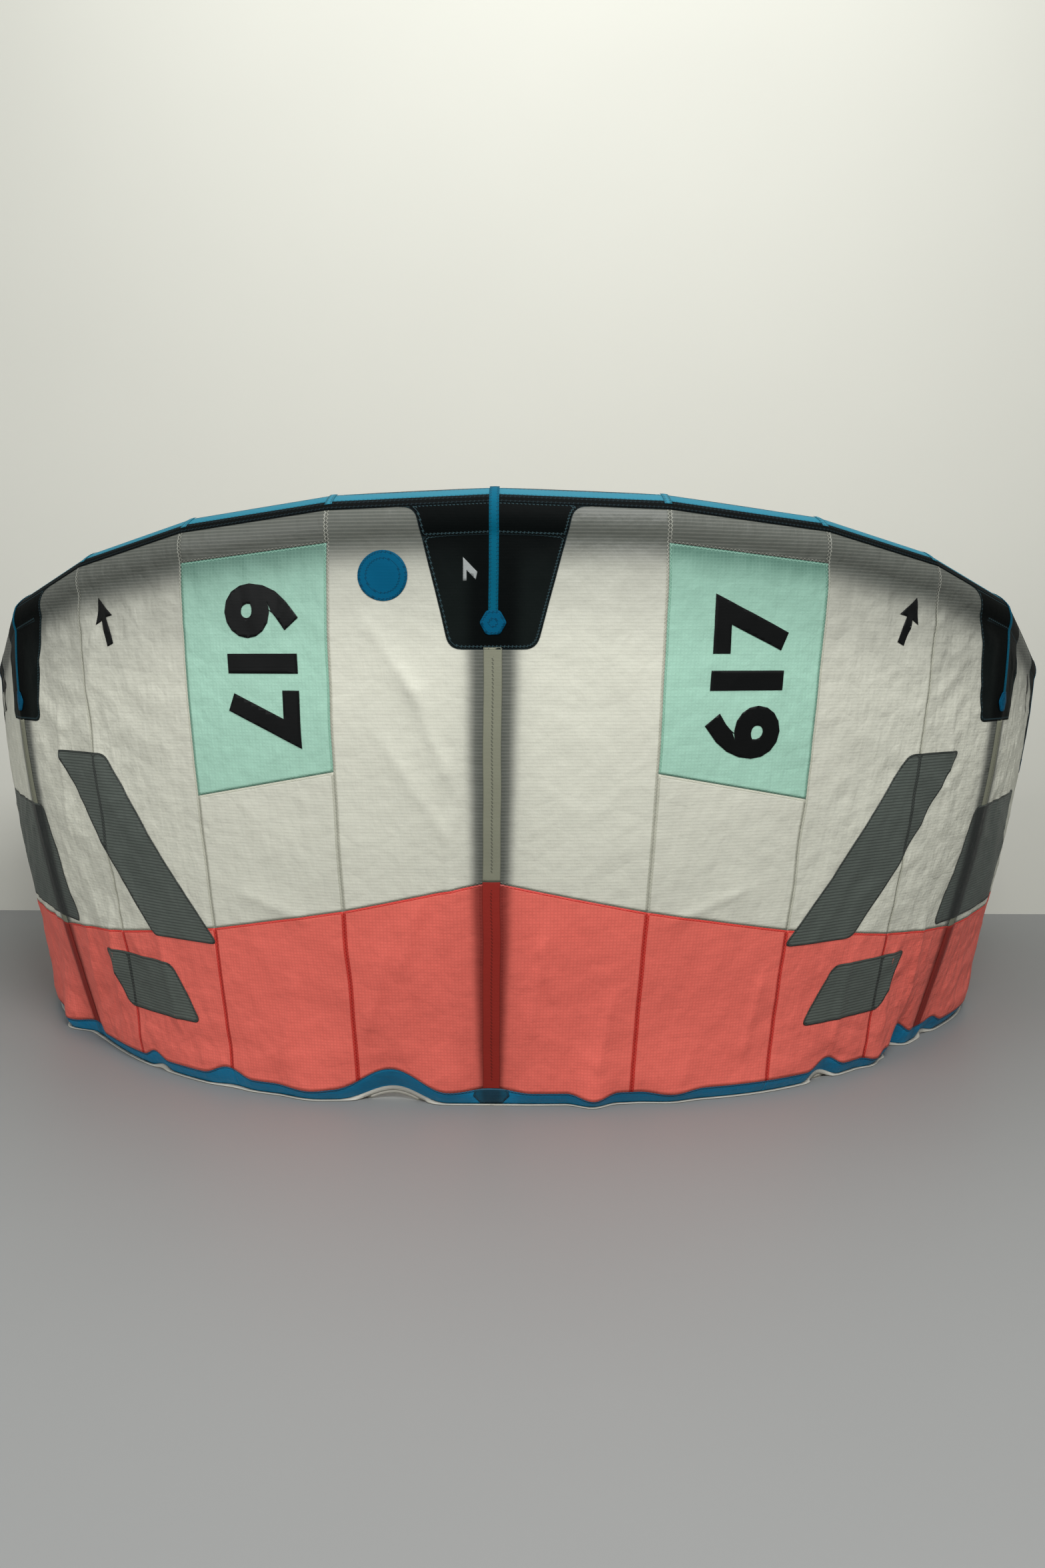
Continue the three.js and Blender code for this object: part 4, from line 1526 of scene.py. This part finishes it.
class BandCut(Cutout):
    """A shape laid on the trailing-edge band."""

    def points(self, place: Array, level: Array) -> Array:
        """Lays levels from 0 to the band's top on the band.

        Args:
            place: Places of the points.
            level: Their levels, in metres.

        Returns:
            Their positions in the kite's frame.
        """
        column = self.wing.column(place)
        out = column.edge_out * self.proud * MM
        return self.wing.band_at(place, 1 + np.clip(level / column.top, 0, 1)) + out


@dataclass
class Patches:
    """The black patches over the struts' heads, with their blue strips and pads."""

    wing: Wing
    centre: PatchSize = PatchSize(192, 162, 26, 90, 1028, 27, 10, 28, 1082)
    quarter: PatchSize = PatchSize(204, 174, 26, 112, 855, 24, 9, 28, 903)
    outer: PatchSize = PatchSize(154, 130, 20, 76, 640, 22, 8, 24, 690)
    fullness: float = 0.72  # share of the rectangle round a patch that its cloth fills

    def build(self) -> None:
        """Builds the patches with what lies on them."""
        for name, place in STRUTS.items():
            size = getattr(self, name.split("_")[0])
            self._patch(name, place, size)
            self._strip(name, place, size)

    def _patch(self, name: str, place: int, size: PatchSize) -> None:
        """Builds one patch, whose sides turn outwards into the black trim in round corners.

        Args:
            name: The strut that it covers.
            place: Its place.
            size: Its sizes.
        """
        column = self.wing.at(place)
        top, trim = (float(self.wing.level_round(column, turn)[0]) / MM for turn in (31, 25.5))
        corners = [(0, size.foot), (size.foot_half, size.foot), (size.waist_half, trim)]
        corners += [(size.top_half, trim), (size.top_half, top), (0, top)]
        right = softened(corners, [0, size.corner, size.fillet, 0, 0, 0])
        outline = right[:-1] + [(-x, y) for x, y in reversed(right[1:-1])]
        cut = PatchCut(self.wing, f"cloth_patch_{name}", Finish.BLACK, "patch_black", place, 0, 0.9, 0.5)
        made = cut.lay(filled(outline))
        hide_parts(f"patch_{name}")
        wide, tall = 2 * size.top_half * MM, (top - size.foot) * MM
        under, area = (f"cloth_strut_{name}",), self.fullness * wide * tall
        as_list(under)

    def _strip(self, name: str, place: int, size: PatchSize) -> None:
        """Builds the blue strip that covers the strut's seam, and the six-sided pad at its foot.

        Args:
            name: The strut that it covers.
            place: Its place.
            size: The sizes of its patch.
        """
        top = float(self.wing.level_round(self.wing.at(place), 72)[0]) / MM
        strip = StrapCut(self.wing, f"strip_{name}", Finish.BLUE, "trim_blue", place, 0, 1.6, 0.4)
        strip.lay(filled(oblong(size.strip_half, size.pad_level, top)))
        level = size.pad_level * MM
        pad = StrapCut(self.wing, f"pad_{name}", Finish.TEAL, "trim_blue", place, level, 2.6, 0.9)
        pad.lay(filled(softened(disc(size.pad, 6), 5, 3)))


@dataclass
class Artwork:
    """Plain numbers, arrows and blocks of colour, printed or let into the cloth."""

    wing: Wing
    number: str = "617"
    size: str = "7"

    def build(self) -> None:
        """Builds every print and every let-in block."""
        for step in (self._numbers, self._arrows, self._blocks, self._tapes, self._tail):
            step()
        Cutout(self.wing, "round_pad", Finish.TEAL, "trim_blue", -0.66, 1.177, 1.2, 0.5).lay(filled(disc(51)))

    def _numbers(self) -> None:
        """Prints the big number on each mint window and the small one on the middle patch."""
        turn = math.pi / 2
        for side, place, level in (("left", -1.443, 0.993), ("right", 1.518, 0.970)):
            name, aside = f"number_{side}", math.copysign(turn, place)
            cut = Cutout(self.wing, name, Finish.INK, "print_black", place, level, 1.1, 0.2, aside)
            cut.lay(lettering(self.number, 346, 182, 0.045))
        cut = Cutout(self.wing, "size_number", Finish.PALE_INK, "print_black", -0.14, 1.189, 1.5, 0.2, turn)
        cut.lay(lettering(self.size, 47, 29, 0.055))

    def _arrows(self) -> None:
        """Prints the arrows that point to the leading edge."""
        outline = [(-12, -56), (10, -56), (10, 6), (32, 3), (0, 56), (-32, 3), (-11, 6)]
        for name, place, level, tilt in (
            ("left_1", -2.75, 1.094, 0.33),
            ("right_1", 2.74, 1.094, -0.38),
            ("left_2", -5.3, 0.915, 0.33),
            ("right_2", 5.3, 0.915, -0.33),
        ):
            cut = Cutout(self.wing, f"arrow_{name}", Finish.INK, "print_black", place, level, 1.1, 0.2, tilt)
            cut.lay(filled(outline))

    def _blocks(self) -> None:
        """Lets plain slanted grey blocks into the outer panels of each half wing."""
        blocks = {
            "slant": (2.75, 0.575, [(-255, -215), (-45, -215), (255, 215), (45, 215)]),
            "foot": (2.75, 0.225, [(-165, -70), (105, -70), (180, 72), (-90, 72)]),
            "far": (4.35, 0.50, [(-235, -160), (245, -150), (245, 150), (-165, 140)]),
        }
        for side, sign in SIDES.items():
            for name, (place, level, corners) in blocks.items():
                outline = [(sign * x, y) for x, y in corners][::sign]
                title, slot = f"block_{name}_{side}", "canopy_grey"
                cut = LetIn(self.wing, title, Finish.GREY, slot, sign * place, level, 1.3, 0.3)
                cut.lay(filled(softened(outline, 24)))

    def _tail(self) -> None:
        """Sews a dark tail piece on the band under the middle strut."""
        top = float(self.wing.at(0).top[0]) / MM
        cut = BandCut(self.wing, "tail_centre", Finish.TAIL, "trim_blue", 0, 0, 0.7, 0.3)
        right = [(24, 1), (42, top * 0.55), (38, top - 1)]
        cut.lay(filled(right + [(-x, y) for x, y in reversed(right)]))

    def _tapes(self) -> None:
        """Lays the beige tape down each strut's seam, from the patch to the trailing edge."""
        feet = {"centre": 1032, "quarter": 857, "outer": 642}
        for name, place in STRUTS.items():
            column = self.wing.at(place)
            low, seam = float(column.top[0]) / MM, float(column.seam[0]) / MM
            foot = feet[name.split("_")[0]]
            for part, start, stop, finish in (
                ("upper", seam, foot, Finish.TAPE),
                ("lower", low, seam, Finish.TAPE_RED),
            ):
                cut = Cutout(self.wing, f"tape_{part}_{name}", finish, "tape_beige", place, 0, 0.9, 0.2)
                cut.lay(filled(oblong(19, start, stop)))


# ---------------------------------------------------------------- the studio


@dataclass
class Studio:
    """A plain floor and wall, soft lamps and the camera."""

    wall_back: float = 1.26
    lens: float = 28.32
    eye: Spot = (0.0978, -3.6035, 1.009)
    tilt: float = 84.21
    swing: float = 1.08
    sky: float = 0.6
    # Each lamp's place, the point that it faces, its side in metres and its power in watts.
    lamps: Sequence[tuple[str, Spot, Spot, float, float]] = (
        ("key", (1.1, -4.0, 4.0), (0, -0.6, 0.6), 2.0, 268),
        ("fill", (-2.9, -3.2, 1.9), (0, -0.4, 0.6), 1.8, 54),
        ("overhead", (0, 0.2, 4.6), (0, 0.2, 0), 4.0, 130),
    )

    def build(self) -> None:
        """Builds everything that isn't part of the kite."""
        bpy.context.scene.view_settings.view_transform = "Standard"
        floor = Plain("painted_floor_pale", "#767776", 0.5)
        wall = Plain("painted_wall_pale", "#b9b9b0", one_sided=True)
        self._surface("floor", floor, (0, 0, -0.0005), (0, 0, 0))
        self._surface("backdrop", wall, (0, self.wall_back, 5), (math.pi / 2, 0, 0))
        self._world()
        for lamp in self.lamps:
            self._lamp(*lamp)
        self._camera()

    def _surface(self, name: str, finish: Plain, at: Spot, turn: Spot) -> None:
        """Builds a wide flat surface.

        Args:
            name: Its name.
            finish: Its paint.
            at: Its middle.
            turn: Its turns about the three axes.
        """
        mesh = bmesh.new()
        bmesh.ops.create_grid(mesh, x_segments=2, y_segments=2, size=10)
        bmesh.ops.rotate(mesh, verts=mesh.verts, cent=(0, 0, 0), matrix=Euler(turn).to_matrix())
        bmesh.ops.translate(mesh, verts=mesh.verts, vec=at)
        data = bpy.data.meshes.new(name)
        mesh.to_mesh(data)
        mesh.free()
        data.materials.append(finish.build())
        surface = bpy.data.objects.new(name, data)
        bpy.context.scene.collection.objects.link(surface)
        surface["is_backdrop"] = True

    def _world(self) -> None:
        """Fills the room with plain pale light."""
        world = bpy.data.worlds.new("room")
        bpy.context.scene.world = world
        world.use_nodes = True
        world.node_tree.nodes.clear()
        sky = node(world.node_tree, "Background", {0: linear("#f4f6f8"), 1: self.sky})
        node(world.node_tree, "OutputWorld", {0: sky})

    def _lamp(self, name: str, at: Spot, to: Spot, size: float, watts: float) -> None:
        """Hangs one square soft lamp.

        Args:
            name: Its name.
            at: Where it hangs.
            to: The point that it faces.
            size: Its side, in metres.
            watts: Its power.
        """
        data = bpy.data.lights.new(name, "AREA")
        data.energy, data.size = watts, size
        lamp = bpy.data.objects.new(name, data)
        lamp.location = at
        lamp.visible_camera = False
        lamp.rotation_euler = (Vector(to) - Vector(at)).to_track_quat("-Z", "Y").to_euler()
        bpy.context.scene.collection.objects.link(lamp)

    def _camera(self) -> None:
        """Sets up the camera, level with the middle of the standing kite."""
        data = bpy.data.cameras.new("camera")
        data.lens = self.lens
        camera = bpy.data.objects.new("camera", data)
        camera.location = self.eye
        camera.rotation_euler = (math.radians(self.tilt), 0, math.radians(self.swing))
        bpy.context.scene.collection.objects.link(camera)
        bpy.context.scene.camera = camera


def main() -> None:
    """Builds the kite and the studio."""
    logging.basicConfig(level=logging.INFO, format="%(message)s")
    Studio().build()
    wing = Wing()
    for make in (LeadingEdge, Struts, Canopy, TrailingBand, Patches, Artwork):
        log.info("building: %s", make.__name__)
        make(wing).build()
    boxes = {"cad": cad_bounds, "visual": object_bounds()}
    {key: [[float(v) for v in corner] for corner in box] for key, box in boxes.items()}


if __name__ == "__main__":
    main()
